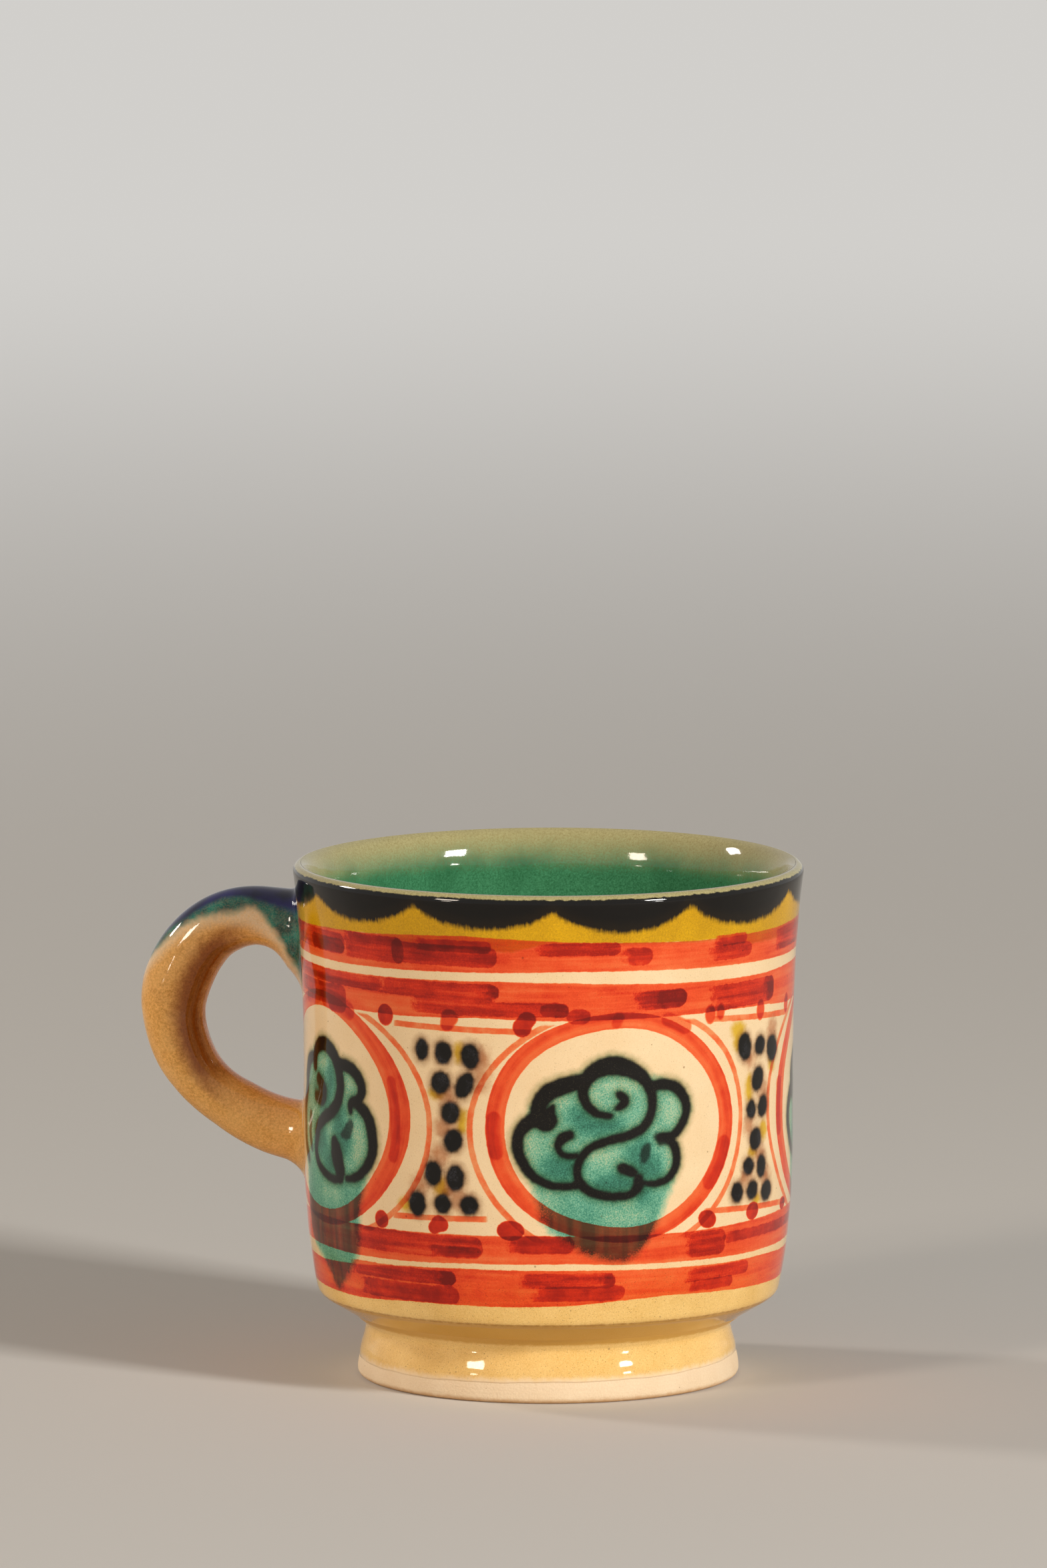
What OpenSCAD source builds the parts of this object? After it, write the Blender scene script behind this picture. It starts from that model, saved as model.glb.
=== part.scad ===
// Hand-thrown jarrito mug: a glazed clay cup on a flared, hollow foot, with a pulled loop handle.
// Millimetres, +Z up. The origin is the centre of the ring on which the foot stands.
// The handle lies along -X. All diameters and heights of the clay are measured without glaze.

/* [Cup] */
// Height from the table to the top of the lip
mug_h = 86.7; // [84:0.1:96]
// Diameter across the lip
rim_d = 85.3; // [83:0.1:92]
// How far the lip stands out beyond the straight part of the wall
rim_flare = 1.75; // [0.5:0.05:4]
// How far the corner, where the wall turns under, lies inside that wall
tuck_in = 2.4; // [1:0.1:5]
// How far the corner is rounded along each of its sides
corner_round = 2.4; // [1:0.1:4]
// Height over which the wall draws in towards the corner
tuck_h = 28.5; // [18:0.1:34]
// Height over which the wall opens out towards the lip
flare_h = 35; // [20:0.1:38]
// Radius of the rolled lip
lip_round = 1.05; // [0.8:0.05:1.6]
// Height of the bevel inside the lip
bevel_h = 3.3; // [2.6:0.1:6]
// Width of the lip from its outer edge to the foot of that bevel
lip_w = 3.65; // [3:0.05:4.2]
// Thickness of the straight part of the wall
wall_t = 3.3; // [2.8:0.1:5]
// Thickness of the floor
floor_t = 4.2; // [3:0.1:6]
// Radius inside between wall and floor
floor_round = 9; // [5:0.1:14]

/* [Foot] */
// Height of the crease between foot and cup
crease_h = 9.9; // [8:0.1:13]
// Height of the chamfer under the cup, from the crease to the corner
chamfer_h = 4.6; // [3:0.1:8]
// Width of that chamfer, from the corner in to the flat underside
chamfer_w = 7.5; // [5:0.1:10]
// How far the foot's neck lies inside the edge of the flat underside
neck_step = 0.6; // [0.2:0.1:2]
// How far the foot flares out below its neck
foot_flare = 1.7; // [0:0.1:4]
// Radius of the foot's outer bottom edge
toe_round = 1.1; // [0.6:0.1:2]
// Width of the ring on which the foot stands
tread_w = 5.8; // [4:0.1:9]
// Thickness of the foot at its neck
foot_wall_t = 5; // [4:0.1:9]

/* [Handle] */
// How far the handle stands out beyond the lip
handle_out = 26.75; // [21:0.05:33]
// Thickness of the pulled coil
coil_d = 10.8; // [9:0.1:12]
// Drop from the top of the lip to the centre of the upper root
root_drop = 11.7; // [11:0.1:15]
// Height between the centres of the two roots
root_span = 34.5; // [28:0.1:38]
// Drop from the upper root to the handle's outermost point
reach_drop = 13.8; // [10:0.1:18]

/* [Slip and glaze] */
// Thickness of the slip that joins the handle and the foot
slip_t = 0.5; // [0.4:0.1:1]
// How far the slip squeezes out round a handle root
slip_bead = 0.6; // [0.4:0.1:1.2]
// Thickness of the glaze
glaze_t = 0.3; // [0.2:0.05:0.5]
// Height above the table at which the outer glaze stops
glaze_stop = 3; // [2:0.1:5]

/* [Hidden] */
$fn = 96;

rim_r = rim_d / 2;
waist_r = rim_r - rim_flare;
corner_r = waist_r - tuck_in;
corner_h = crease_h + chamfer_h;
bore_r = waist_r - wall_t;
base_r = corner_r - chamfer_w;
neck_r = base_r - neck_step;
foot_r = neck_r + foot_flare;
hollow_r = foot_r - tread_w;
hollow_top_r = neck_r - foot_wall_t;
foot_h = crease_h - slip_t;
floor_h = crease_h + floor_t;
lip_centre = [rim_r - lip_round, mug_h - lip_round];
// The wall draws in below and opens out above by power curves, gently at first
tuck_power = 2.7;
flare_power = 2.5;
tuck_low = corner_h + corner_round;
tuck_top = tuck_low + tuck_h;
tuck_lean = corner_round * tuck_power / tuck_h;
tuck_low_r = (corner_r + tuck_lean * waist_r) / (1 + tuck_lean);
flare_low = lip_centre.y - flare_h;
throat = [rim_r - lip_w, mug_h - bevel_h];
bore_top = [bore_r, flare_low];
// The bevel's foot is eased by this share of its height
throat_ease_share = 0.35;
throat_ease = throat_ease_share * bevel_h;
// Inner edge of the ring on which the foot stands
hollow_round = toe_round;
// Steps in which each round stretch of an outline is drawn
wall_steps = 24;
lip_steps = 6;
knee_steps = 5;
foot_steps = 10;
floor_steps = 10;

// Handle: two cubic curves meet at the outermost point of the centreline
upper_z = mug_h - root_drop;
lower_z = upper_z - root_span;
reach_z = upper_z - reach_drop;
line_reach = rim_r + handle_out - coil_d / 2;
// Pulls of the curves: shares of the way out from the wall, and of the height of each curve
upper_out_share = 0.77;
upper_rise_share = 0.52;
upper_hold_share = 0.37;
lower_hold_share = 0.75;
lower_out_share = 0.35;
lower_rise_share = 0.03;
// Shares of the coil's radius: pinched crown, flared upper root, lean belly, flared and pressed tail
crown_pinch_share = 0.12;
upper_flare_share = 0.2;
belly_pinch_share = 0.1;
tail_flare_share = 0.05;
tail_press_share = 0.14;
// Shares of a curve's length over which a root flares
upper_flare_run_share = 0.14;
tail_flare_run_share = 0.15;
coil_sides = 24;
path_steps = 17;
root_steps = 6;
// How far the untrimmed coil runs on inside the cup before the wall cuts it
coil_overrun = coil_d;

function lerp(a, b, u) = a + (b - a) * u;
function unit(v) = v / norm(v);
function smooth(u) = u * u * (3 - 2 * u);
function arc(centre, r, from, to, steps) =
    [for (i = [0 : steps]) let (a = lerp(from, to, i / steps)) centre + r * [cos(a), sin(a)]];
// A round corner at v between the points a and b, starting and ending at length run from v
function knee(a, v, b, run, steps) =
    let (p = v + run * unit(a - v), q = v + run * unit(b - v))
    [for (i = [0 : steps]) let (u = i / steps) lerp(lerp(p, v, u), lerp(v, q, u), u)];
// Normal on the right of the step from a to b
function right_normal(a, b) = let (w = unit(b - a)) [w.y, -w.x];
function mitre(m, n) = (m + n) / (1 + m * n);
// An open outline moved out to its right by d
function grown(pts, d) =
    let (last = len(pts) - 1, ns = [for (i = [0 : last - 1]) right_normal(pts[i], pts[i + 1])])
    [for (i = [0 : last]) pts[i] + d * mitre(ns[max(0, i - 1)], ns[min(last - 1, i)])];
function slice(list, from, to) = [for (i = [from : to]) list[i]];
function reversed(list) = [for (i = [len(list) - 1 : -1 : 0]) list[i]];

// Outer radius of the cup's wall at height z
function wall_r_at(z) =
    waist_r
    - (waist_r - tuck_low_r) * pow(max(0, (tuck_top - z) / tuck_h), tuck_power)
    + (rim_r - waist_r) * pow(max(0, (z - flare_low) / flare_h), flare_power);
function foot_r_at(z) = lerp(foot_r, neck_r, smooth((z - toe_round) / (foot_h - toe_round)));
function foot_side(low) =
    [for (i = [0 : foot_steps]) let (z = lerp(low, foot_h, i / foot_steps)) [foot_r_at(z), z]];

// Outlines run from the foot up the outside, over the lip and down the inside to the floor
corner = [corner_r, corner_h];
cup_side = concat(
    [[base_r, crease_h]],
    knee([base_r, crease_h], corner, [tuck_low_r, tuck_low], corner_round, knee_steps),
    [for (i = [1 : wall_steps]) let (z = lerp(tuck_low, lip_centre.y, i / wall_steps)) [wall_r_at(z), z]],
    slice(arc(lip_centre, lip_round, 0, 90, lip_steps), 1, lip_steps));
bevel_angle = 360 + atan2(throat.y - lip_centre.y, throat.x - lip_centre.x)
    - acos(lip_round / norm(throat - lip_centre));
bevel_start = lip_centre + lip_round * [cos(bevel_angle), sin(bevel_angle)];
cup_bore = concat(
    arc(lip_centre, lip_round, 90, bevel_angle, lip_steps),
    knee(bevel_start, throat, bore_top, throat_ease, knee_steps),
    [bore_top],
    arc([bore_r - floor_round, floor_h + floor_round], floor_round, 0, -90, floor_steps),
    [[0, floor_h]]);
glazed_clay = concat(foot_side(glaze_stop), cup_side, slice(cup_bore, 1, len(cup_bore) - 1));
glaze_skin = grown(glazed_clay, glaze_t);
lip_top = foot_steps + len(cup_side);

function bezier(p, t) =
    pow(1 - t, 3) * p[0] + 3 * pow(1 - t, 2) * t * p[1] + 3 * (1 - t) * t * t * p[2] + pow(t, 3) * p[3];
function bezier_way(p, t) =
    unit(pow(1 - t, 2) * (p[1] - p[0]) + 2 * (1 - t) * t * (p[2] - p[1]) + t * t * (p[3] - p[2]));

// Centreline of the handle in [distance from the axis, height]
upper_root = [wall_r_at(upper_z), upper_z];
lower_root = [wall_r_at(lower_z), lower_z];
outermost = [line_reach, reach_z];
upper_path = [
    upper_root,
    [lerp(upper_root.x, line_reach, upper_out_share), upper_z + upper_rise_share * reach_drop],
    [line_reach, reach_z + upper_hold_share * reach_drop],
    outermost];
lower_path = [
    outermost,
    [line_reach, reach_z - lower_hold_share * (reach_z - lower_z)],
    [lerp(lower_root.x, line_reach, lower_out_share), lower_z + lower_rise_share * (reach_z - lower_z)],
    lower_root];

// A station of the coil is its centre, its direction, and its half thicknesses in the loop and across it
function upper_station(t) =
    let (flare = upper_flare_share * pow(max(0, 1 - t / upper_flare_run_share), 2),
         pinch = crown_pinch_share * pow(sin(180 * sqrt(t)), 2),
         half = coil_d / 2 * (1 + flare - pinch))
    [bezier(upper_path, t), bezier_way(upper_path, t), half, half];
function lower_station(t) =
    let (near = pow(max(0, 1 - (1 - t) / tail_flare_run_share), 2),
         pinch = belly_pinch_share * pow(sin(180 * t), 2),
         half = coil_d / 2 * (1 + tail_flare_share * near - pinch))
    [bezier(lower_path, t), bezier_way(lower_path, t), half, half * (1 + tail_press_share * near)];
// A station slid along its own direction, for the ends that run on inside the cup
function slid(s, run) = [s[0] + run * s[1], s[1], s[2], s[3]];
upper_stations = [for (i = [0 : path_steps]) upper_station(i / path_steps)];
lower_stations = [for (i = [0 : path_steps]) lower_station(i / path_steps)];
upper_end = slid(upper_stations[0], -coil_overrun);
lower_end = slid(lower_stations[path_steps], coil_overrun);
coil_stations = concat([upper_end], upper_stations, slice(lower_stations, 1, path_steps), [lower_end]);
upper_root_stations = concat([upper_end], slice(upper_stations, 0, root_steps));
lower_root_stations = concat(slice(lower_stations, path_steps - root_steps, path_steps), [lower_end]);

// The coil's ring of points at a station, grown by skin on all sides
function coil_ring(s, skin) =
    [for (k = [0 : coil_sides - 1])
        let (a = 360 * k / coil_sides, inward = (s[2] + skin) * cos(a), across = (s[3] + skin) * sin(a))
        [-(s[0].x - s[1].y * inward), across, s[0].y + s[1].x * inward]];

module coil(stations, skin) {
    rows = len(stations);
    n = coil_sides;
    points = [for (s = stations) each coil_ring(s, skin)];
    start_cap = [for (k = [0 : n - 1]) k];
    end_cap = [for (k = [n - 1 : -1 : 0]) (rows - 1) * n + k];
    sides = [for (i = [0 : rows - 2], k = [0 : n - 1])
        let (a = i * n + k, b = i * n + (k + 1) % n)
        each [[a, a + n, b + n], [a, b + n, b]]];
    polyhedron(points = points, faces = concat([start_cap], [end_cap], sides), convexity = 6);
}

// Everything inside the cup's outer surface once that is grown by d
module cup_envelope(d) {
    side = grown(cup_side, d);
    last = len(side) - 1;
    rotate_extrude() polygon(concat([[0, side[0].y]], side, [[0, side[last].y]]));
}

module cup() {
    color("#e8c58a")
        rotate_extrude() polygon(concat([[0, crease_h]], cup_side, slice(cup_bore, 1, len(cup_bore) - 1)));
}

module foot_ring() {
    toe = arc([foot_r - toe_round, toe_round], toe_round, -90, 0, knee_steps);
    hollow_edge = arc([hollow_r + hollow_round, hollow_round], hollow_round, 180, 270, knee_steps);
    color("#e0a850")
        rotate_extrude()
            polygon(concat(toe, slice(foot_side(toe_round), 1, foot_steps), [[hollow_top_r, foot_h]], hollow_edge));
}

module foot_slip() {
    color("#d9b67c")
        rotate_extrude()
            polygon([[hollow_top_r, foot_h], [neck_r, foot_h], [base_r, crease_h], [hollow_top_r, crease_h]]);
}

module handle() {
    color("#c08a45")
        difference() {
            coil(coil_stations, 0);
            cup_envelope(slip_t);
        }
}

// Slip between the wall and one root of the handle, squeezed out all round it
module root_slip(stations) {
    color("#d9b67c")
        difference() {
            intersection() {
                coil(stations, slip_bead);
                cup_envelope(slip_t);
            }
            cup_envelope(0);
        }
}

module upper_slip() { root_slip(upper_root_stations); }

module lower_slip() { root_slip(lower_root_stations); }

module liner_glaze() {
    last = len(glazed_clay) - 1;
    color("#1e8a5c")
        rotate_extrude()
            polygon(concat(slice(glazed_clay, lip_top, last), reversed(slice(glaze_skin, lip_top, last))));
}

module outer_glaze() {
    color("#d8401f")
        difference() {
            rotate_extrude()
                polygon(concat(reversed(slice(glazed_clay, 0, lip_top)), slice(glaze_skin, 0, lip_top)));
            coil(upper_root_stations, slip_bead);
            coil(lower_root_stations, slip_bead);
        }
}

module handle_glaze() {
    color("#b98545")
        difference() {
            coil(coil_stations, glaze_t);
            coil(coil_stations, 0);
            cup_envelope(slip_t);
        }
}

cup();
foot_ring();
foot_slip();
handle();
upper_slip();
lower_slip();
liner_glaze();
outer_glaze();
handle_glaze();
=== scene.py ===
# %% [markdown]
# A hand-thrown clay mug, dressed for its portrait
#
# The mug is a thrown cup on a turned foot, with a pulled handle. It is painted with coloured
# slips under a clear glaze. Its solid pieces come in as a fixed frame, and this file makes what
# the eye meets: the skins of glaze, the paint that shows through them, and the bare foot.
# Lengths are written in millimetres and become metres where a mesh is made.
# The camera looks along +Y, and the handle lies along -X.

# %% Imports, the fixed frame and its box
import math
from functools import partial

import bmesh
import bpy
import numpy as np
from mathutils import Matrix, Vector


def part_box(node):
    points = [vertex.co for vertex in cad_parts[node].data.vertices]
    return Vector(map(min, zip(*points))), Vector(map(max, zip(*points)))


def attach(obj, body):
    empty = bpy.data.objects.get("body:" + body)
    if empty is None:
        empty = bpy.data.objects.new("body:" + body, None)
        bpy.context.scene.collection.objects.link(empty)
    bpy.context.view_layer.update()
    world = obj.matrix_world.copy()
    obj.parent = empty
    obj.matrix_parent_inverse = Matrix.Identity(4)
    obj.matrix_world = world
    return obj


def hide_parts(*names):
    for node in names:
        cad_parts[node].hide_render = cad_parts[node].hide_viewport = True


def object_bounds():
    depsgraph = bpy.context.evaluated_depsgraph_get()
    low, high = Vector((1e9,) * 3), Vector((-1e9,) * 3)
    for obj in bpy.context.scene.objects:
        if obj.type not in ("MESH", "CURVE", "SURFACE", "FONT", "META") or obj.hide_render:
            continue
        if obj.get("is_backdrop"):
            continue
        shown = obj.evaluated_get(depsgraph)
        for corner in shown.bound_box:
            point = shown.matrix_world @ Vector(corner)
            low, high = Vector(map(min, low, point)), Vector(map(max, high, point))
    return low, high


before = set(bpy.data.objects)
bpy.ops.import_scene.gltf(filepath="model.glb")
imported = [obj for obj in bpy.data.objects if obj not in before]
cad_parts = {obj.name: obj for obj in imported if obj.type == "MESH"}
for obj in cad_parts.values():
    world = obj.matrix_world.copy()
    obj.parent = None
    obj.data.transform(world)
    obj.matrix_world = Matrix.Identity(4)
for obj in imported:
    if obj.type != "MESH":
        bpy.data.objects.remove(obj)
cad_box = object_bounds()
MM = 0.001
ROOT = "root"
print("pieces in the frame:", sorted(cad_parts))

# %% [markdown]
# Sizes that the frame already knows
#
# The lip, the floor, the foot and the thickness of the glaze are read from the boxes of the
# solid pieces, so that the skins fit the clay. Only what a box can't say, such as how the
# wall curves, has a value here.

# %% Sizes in millimetres
cup_low, cup_high = (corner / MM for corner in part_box("cup"))
glaze_low, glaze_high = (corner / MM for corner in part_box("outer_glaze"))
liner_low, _ = (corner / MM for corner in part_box("liner_glaze"))
_, foot_high = (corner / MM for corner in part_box("foot_ring"))
_, slip_high = (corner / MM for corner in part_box("foot_slip"))
grip_low, _ = (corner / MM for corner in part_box("handle_glaze"))

RIM_R = cup_high.x
MUG_H = cup_high.z
CREASE_H = cup_low.z
FLOOR_H = liner_low.z
GLAZE_T = glaze_high.z - cup_high.z
GLAZE_STOP = glaze_low.z
FOOT_R = foot_high.x
FOOT_H = foot_high.z
BASE_R = slip_high.x
REACH = -grip_low.x

# The wall's straight part, its corner, the lip and the inside
RIM_FLARE, TUCK_IN, CHAMFER_H, LIP_W, WALL_T = 1.75, 2.4, 4.6, 3.65, 3.3
WAIST_R = RIM_R - RIM_FLARE
CORNER_R = WAIST_R - TUCK_IN
CORNER_H = CREASE_H + CHAMFER_H
CORNER_ROUND = 2.4
TUCK_H = 28.5
TUCK_POWER = 2.7
FLARE_H = 35
FLARE_POWER = 2.5
LIP_ROUND = 1.05
BEVEL_H = 3.3
BEVEL_RUN = 2.9
THROAT_R = RIM_R - LIP_W
BORE_R = WAIST_R - WALL_T
FLOOR_ROUND = 9
# The foot
NECK_STEP, TREAD_W, FOOT_WALL_T = 0.6, 5.8, 5
NECK_R = BASE_R - NECK_STEP
TOE_ROUND = 1.1
HOLLOW_R = FOOT_R - TREAD_W
HOLLOW_TOP_R = NECK_R - FOOT_WALL_T
# How fast a change dies away along its run
FADE_POWER = 1.5
print(f"lip {2 * RIM_R:.1f} across, {MUG_H:.1f} high, glaze {GLAZE_T:.2f} thick")

# %% [markdown]
# The outline of a thrown pot
#
# A potter thinks of a pot as one line turned round an axis. The line is built here from the
# parts that fingers make: the flare of the foot, the chamfer cut under the wall, the wall's
# long curve, the roll of the lip and the bevel inside it. Arcs and power curves give the
# round stretches, so that no list of measured points is needed.

# %% Outline helpers
def mix(a, b, share):
    return a + (b - a) * share


def eased(share):
    return share * share * (3 - 2 * share)


ARC_STEPS = 8


def arc(centre, radius, start, end, steps=ARC_STEPS):
    turns = (math.radians(mix(start, end, i / steps)) for i in range(steps + 1))
    return [Vector(centre) + radius * Vector((math.cos(a), math.sin(a))) for a in turns]


def knee(before, corner, after, run, steps=ARC_STEPS):
    """A rounded corner that starts and ends at length run from the corner."""
    before, corner, after = Vector(before), Vector(corner), Vector(after)
    start = corner + run * (before - corner).normalized()
    end = corner + run * (after - corner).normalized()
    shares = [i / steps for i in range(steps + 1)]
    return [mix(mix(start, corner, s), mix(corner, end, s), s) for s in shares]


def grown(points, by):
    """An open outline moved out to its right."""
    ways = [(b - a).normalized() for a, b in zip(points, points[1:])]
    normals = [Vector((w.y, -w.x)) for w in ways]
    normals = [normals[0], *normals, normals[-1]]
    return [p + by * (m + n) / (1 + m.dot(n)) for p, m, n in zip(points, normals, normals[1:])]


def spaced(points, gap):
    """Points at an even spacing along an outline."""
    lengths = [0.0]
    for a, b in zip(points, points[1:]):
        lengths.append(lengths[-1] + (b - a).length)
    wanted = np.linspace(0, lengths[-1], 1 + max(1, round(lengths[-1] / gap)))
    xs = np.interp(wanted, lengths, [p.x for p in points])
    ys = np.interp(wanted, lengths, [p.y for p in points])
    return [Vector(p) for p in zip(xs, ys)]


# %% The clay's outline, outside and inside
TUCK_LOW = CORNER_H + CORNER_ROUND
TUCK_TOP = TUCK_LOW + TUCK_H
TUCK_LEAN = CORNER_ROUND * TUCK_POWER / TUCK_H
TUCK_LOW_R = (CORNER_R + TUCK_LEAN * WAIST_R) / (1 + TUCK_LEAN)
LIP_CENTRE = Vector((RIM_R - LIP_ROUND, MUG_H - LIP_ROUND))
FLARE_LOW = LIP_CENTRE.y - FLARE_H


def wall_r(z):
    """Outer radius of the clay wall at a height."""
    tuck = np.maximum(0, (TUCK_TOP - z) / TUCK_H) ** TUCK_POWER
    flare = np.maximum(0, (z - FLARE_LOW) / FLARE_H) ** FLARE_POWER
    return WAIST_R - (WAIST_R - TUCK_LOW_R) * tuck + (RIM_R - WAIST_R) * flare


def foot_r(z):
    """Outer radius of the foot at a height."""
    return mix(FOOT_R, NECK_R, eased((z - TOE_ROUND) / (FOOT_H - TOE_ROUND)))


WALL_STEPS, FOOT_SIDE_STEPS, BEVEL_STEPS, FLOOR_STEPS = 60, 12, 12, 14
CREASE_RUN, CORNER_RUN, CREASE_STEPS, LEAST_GAP = 0.7, 1.0, 6, 0.1
# Glaze fills the crease between foot and cup a little
CREASE_FILL, CREASE_GAP = (0.35, 0.05), 0.5
crease_point = Vector((BASE_R, CREASE_H)) - Vector(CREASE_FILL)
side_heights = np.linspace(GLAZE_STOP, FOOT_H - CREASE_GAP, FOOT_SIDE_STEPS)
foot_side = [Vector((foot_r(z), z)) for z in side_heights]
crease = knee(foot_side[-1], crease_point, (CORNER_R, CORNER_H), CREASE_RUN, CREASE_STEPS)
foot_side = [p for p in foot_side if p.y < crease[0].y - LEAST_GAP]
corner = knee((BASE_R, CREASE_H), (CORNER_R, CORNER_H), (TUCK_LOW_R, TUCK_LOW), CORNER_RUN)
wall = [Vector((wall_r(z), z)) for z in np.linspace(TUCK_LOW, LIP_CENTRE.y, WALL_STEPS)]
lip_outside = arc(LIP_CENTRE, LIP_ROUND, 0, 90)
clay_outside = foot_side + crease + corner + wall + lip_outside[1:]

throat = Vector((THROAT_R, MUG_H - BEVEL_H))
to_throat = throat - LIP_CENTRE
bevel_angle = 360 + math.degrees(
    math.atan2(to_throat.y, to_throat.x) - math.acos(LIP_ROUND / to_throat.length)
)
lip_inside = arc(LIP_CENTRE, LIP_ROUND, 90, bevel_angle)
bevel_foot = knee(lip_inside[-1], throat, (BORE_R, FLARE_LOW), BEVEL_RUN, BEVEL_STEPS)
floor_centre = (BORE_R - FLOOR_ROUND, FLOOR_H + FLOOR_ROUND)
floor_turn = arc(floor_centre, FLOOR_ROUND, 0, -90, FLOOR_STEPS)
clay_inside = lip_inside + bevel_foot + [Vector((BORE_R, FLARE_LOW))] + floor_turn
clay_inside.append(Vector((0, FLOOR_H)))
print(f"outline: {len(clay_outside)} points outside, {len(clay_inside)} inside")

# %% [markdown]
# Turning an outline
#
# A bmesh holds the outline's points joined by edges, and spin carries them round the axis.
# One long spin with hundreds of steps is slow, because each step goes through all that is
# there already. So a first spin makes a narrow slice, and a second one copies the slice
# round. The copies share their edges once the doubles are merged, and no seam is left.

# %% Turned pieces
AXIS = Vector((0, 0, 1))
SLICES = 32
MERGE = 0.001 * MM


def as_object(name, bm):
    """The finished bmesh as a smooth object at the origin."""
    bmesh.ops.recalc_face_normals(bm, faces=bm.faces[:])
    mesh = bpy.data.meshes.new(name)
    bm.to_mesh(mesh)
    bm.free()
    mesh.shade_smooth()
    made = bpy.data.objects.new(name, mesh)
    bpy.context.scene.collection.objects.link(made)
    print(f"{name}: {len(mesh.vertices)} points, {len(mesh.polygons)} faces")
    return made


def turned(name, outline, steps, closed=True):
    """Spins an outline of (radius, height) points once round the axis."""
    bm = bmesh.new()
    verts = [bm.verts.new((p.x * MM, 0, p.y * MM)) for p in outline]
    pairs = list(zip(verts, verts[1:]))
    if closed:
        pairs.append((verts[-1], verts[0]))
    line = [bm.edges.new(pair) for pair in pairs]
    slice_turn = 2 * math.pi / SLICES
    place = {"cent": (0, 0, 0), "axis": AXIS}
    bmesh.ops.spin(bm, geom=verts + line, angle=slice_turn, steps=steps // SLICES, **place)
    everything = bm.verts[:] + bm.edges[:] + bm.faces[:]
    rest = SLICES - 1
    bmesh.ops.spin(
        bm, geom=everything, angle=slice_turn * rest, steps=rest, use_duplicate=True, **place
    )
    bmesh.ops.remove_doubles(bm, verts=bm.verts[:], dist=MERGE)
    return as_object(name, bm)


def places(obj):
    """The object's points as an array, in millimetres."""
    found = np.empty(len(obj.data.vertices) * 3)
    obj.data.vertices.foreach_get("co", found)
    return found.reshape(-1, 3) / MM


def put_places(obj, at):
    obj.data.vertices.foreach_set("co", (at * MM).ravel())
    obj.data.update()


# %% [markdown]
# The skins of glaze
#
# Glaze covers the clay as a skin a third of a millimetre thick. The painted skin outside
# needs a fine mesh, because the paint is stored on its points. The inner face, which lies
# against the clay, needs few points. Glaze that stops on bare clay ends in a soft edge.

# %% The painted skin outside and the green skin inside
PAINT_GAP = 0.45
PLAIN_GAP = 0.6
HIDDEN_GAP = 6.0
PAINT_STEPS = 480
LINER_GAP = 1.0
LINER_STEPS = 320
EDGE_RUN = 2.4
EDGE_DIP = 1.25 * GLAZE_T

painted_line = grown(clay_outside, GLAZE_T)
first_painted = next(i for i, p in enumerate(painted_line) if p.y > CORNER_H)
low_part = spaced(painted_line[: first_painted + 1], PLAIN_GAP)
for point in low_part:
    share = max(0, 1 - (point.y - GLAZE_STOP) / EDGE_RUN)
    point.x -= EDGE_DIP * share**FADE_POWER
high_part = spaced(painted_line[first_painted:], PAINT_GAP)
against_clay = spaced(clay_outside, HIDDEN_GAP)[::-1]
painted = turned("painted_glaze", low_part + high_part[1:] + against_clay[:-1], PAINT_STEPS)

liner_line = spaced(grown(clay_inside, GLAZE_T), LINER_GAP)
liner_line[-1].x = 0
against_clay = spaced(clay_inside, HIDDEN_GAP)[::-1]
liner = turned("green_liner", liner_line + against_clay, LINER_STEPS, closed=False)

# %% [markdown]
# The bare foot
#
# The foot ring stands on the table on a narrow tread. It is hollow underneath, so that the
# mug doesn't rock. No glaze reaches the tread, because it would stick to the kiln's shelf.

# %% Foot ring
FOOT_STEPS, SIDE_STEPS, HOLLOW_PARTS = 192, 24, 12
toe = arc((FOOT_R - TOE_ROUND, TOE_ROUND), TOE_ROUND, -90, 0)
side = [Vector((foot_r(z), z)) for z in np.linspace(TOE_ROUND, FOOT_H, SIDE_STEPS)]
hollow_edge = arc((HOLLOW_R + TOE_ROUND, TOE_ROUND), TOE_ROUND, 180, 270)
hollow_top, hollow_foot = Vector((HOLLOW_TOP_R, FOOT_H)), Vector((HOLLOW_R, TOE_ROUND))
hollow = [mix(hollow_top, hollow_foot, i / HOLLOW_PARTS) for i in range(HOLLOW_PARTS)]
foot = turned("foot_ring_turned", toe + side[1:] + hollow + hollow_edge, FOOT_STEPS)

# %% [markdown]
# The hand in the clay
#
# No thrown pot is perfectly round. The wall breathes in and out by a tenth of a millimetre
# or two, fingers leave faint rings, and the lip rises and falls. The function thrown moves
# the points of every turned skin in the same way, and only inwards, so that the pieces still
# fit each other and the mug stays inside its measured box. Another one, uneven_stop, is for
# the painted skin alone, whose lower edge was wiped by hand.

# %% Throwing marks
OVAL, RINGS, LIP_DIP = 0.06, 0.02, 0.07
# Where the waves of the oval and the lip start, and the foot's share of the oval
OVAL_START, LIP_START, FOOT_OVAL = 0.7, -1.1, 0.3
RING_GAP, RING_CLIMB = 1.35, 30
LIP_RUN, STOP_RUN, STOP_RISE = 8, 7, 0.3
# Each wave of the glaze's lower edge: its height, how many go round, and where it starts
STOP_WAVES = ((0.5, 1, -0.3), (0.09, 5, 1), (0.05, 14, 0), (0.03, 31, 2))


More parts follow.
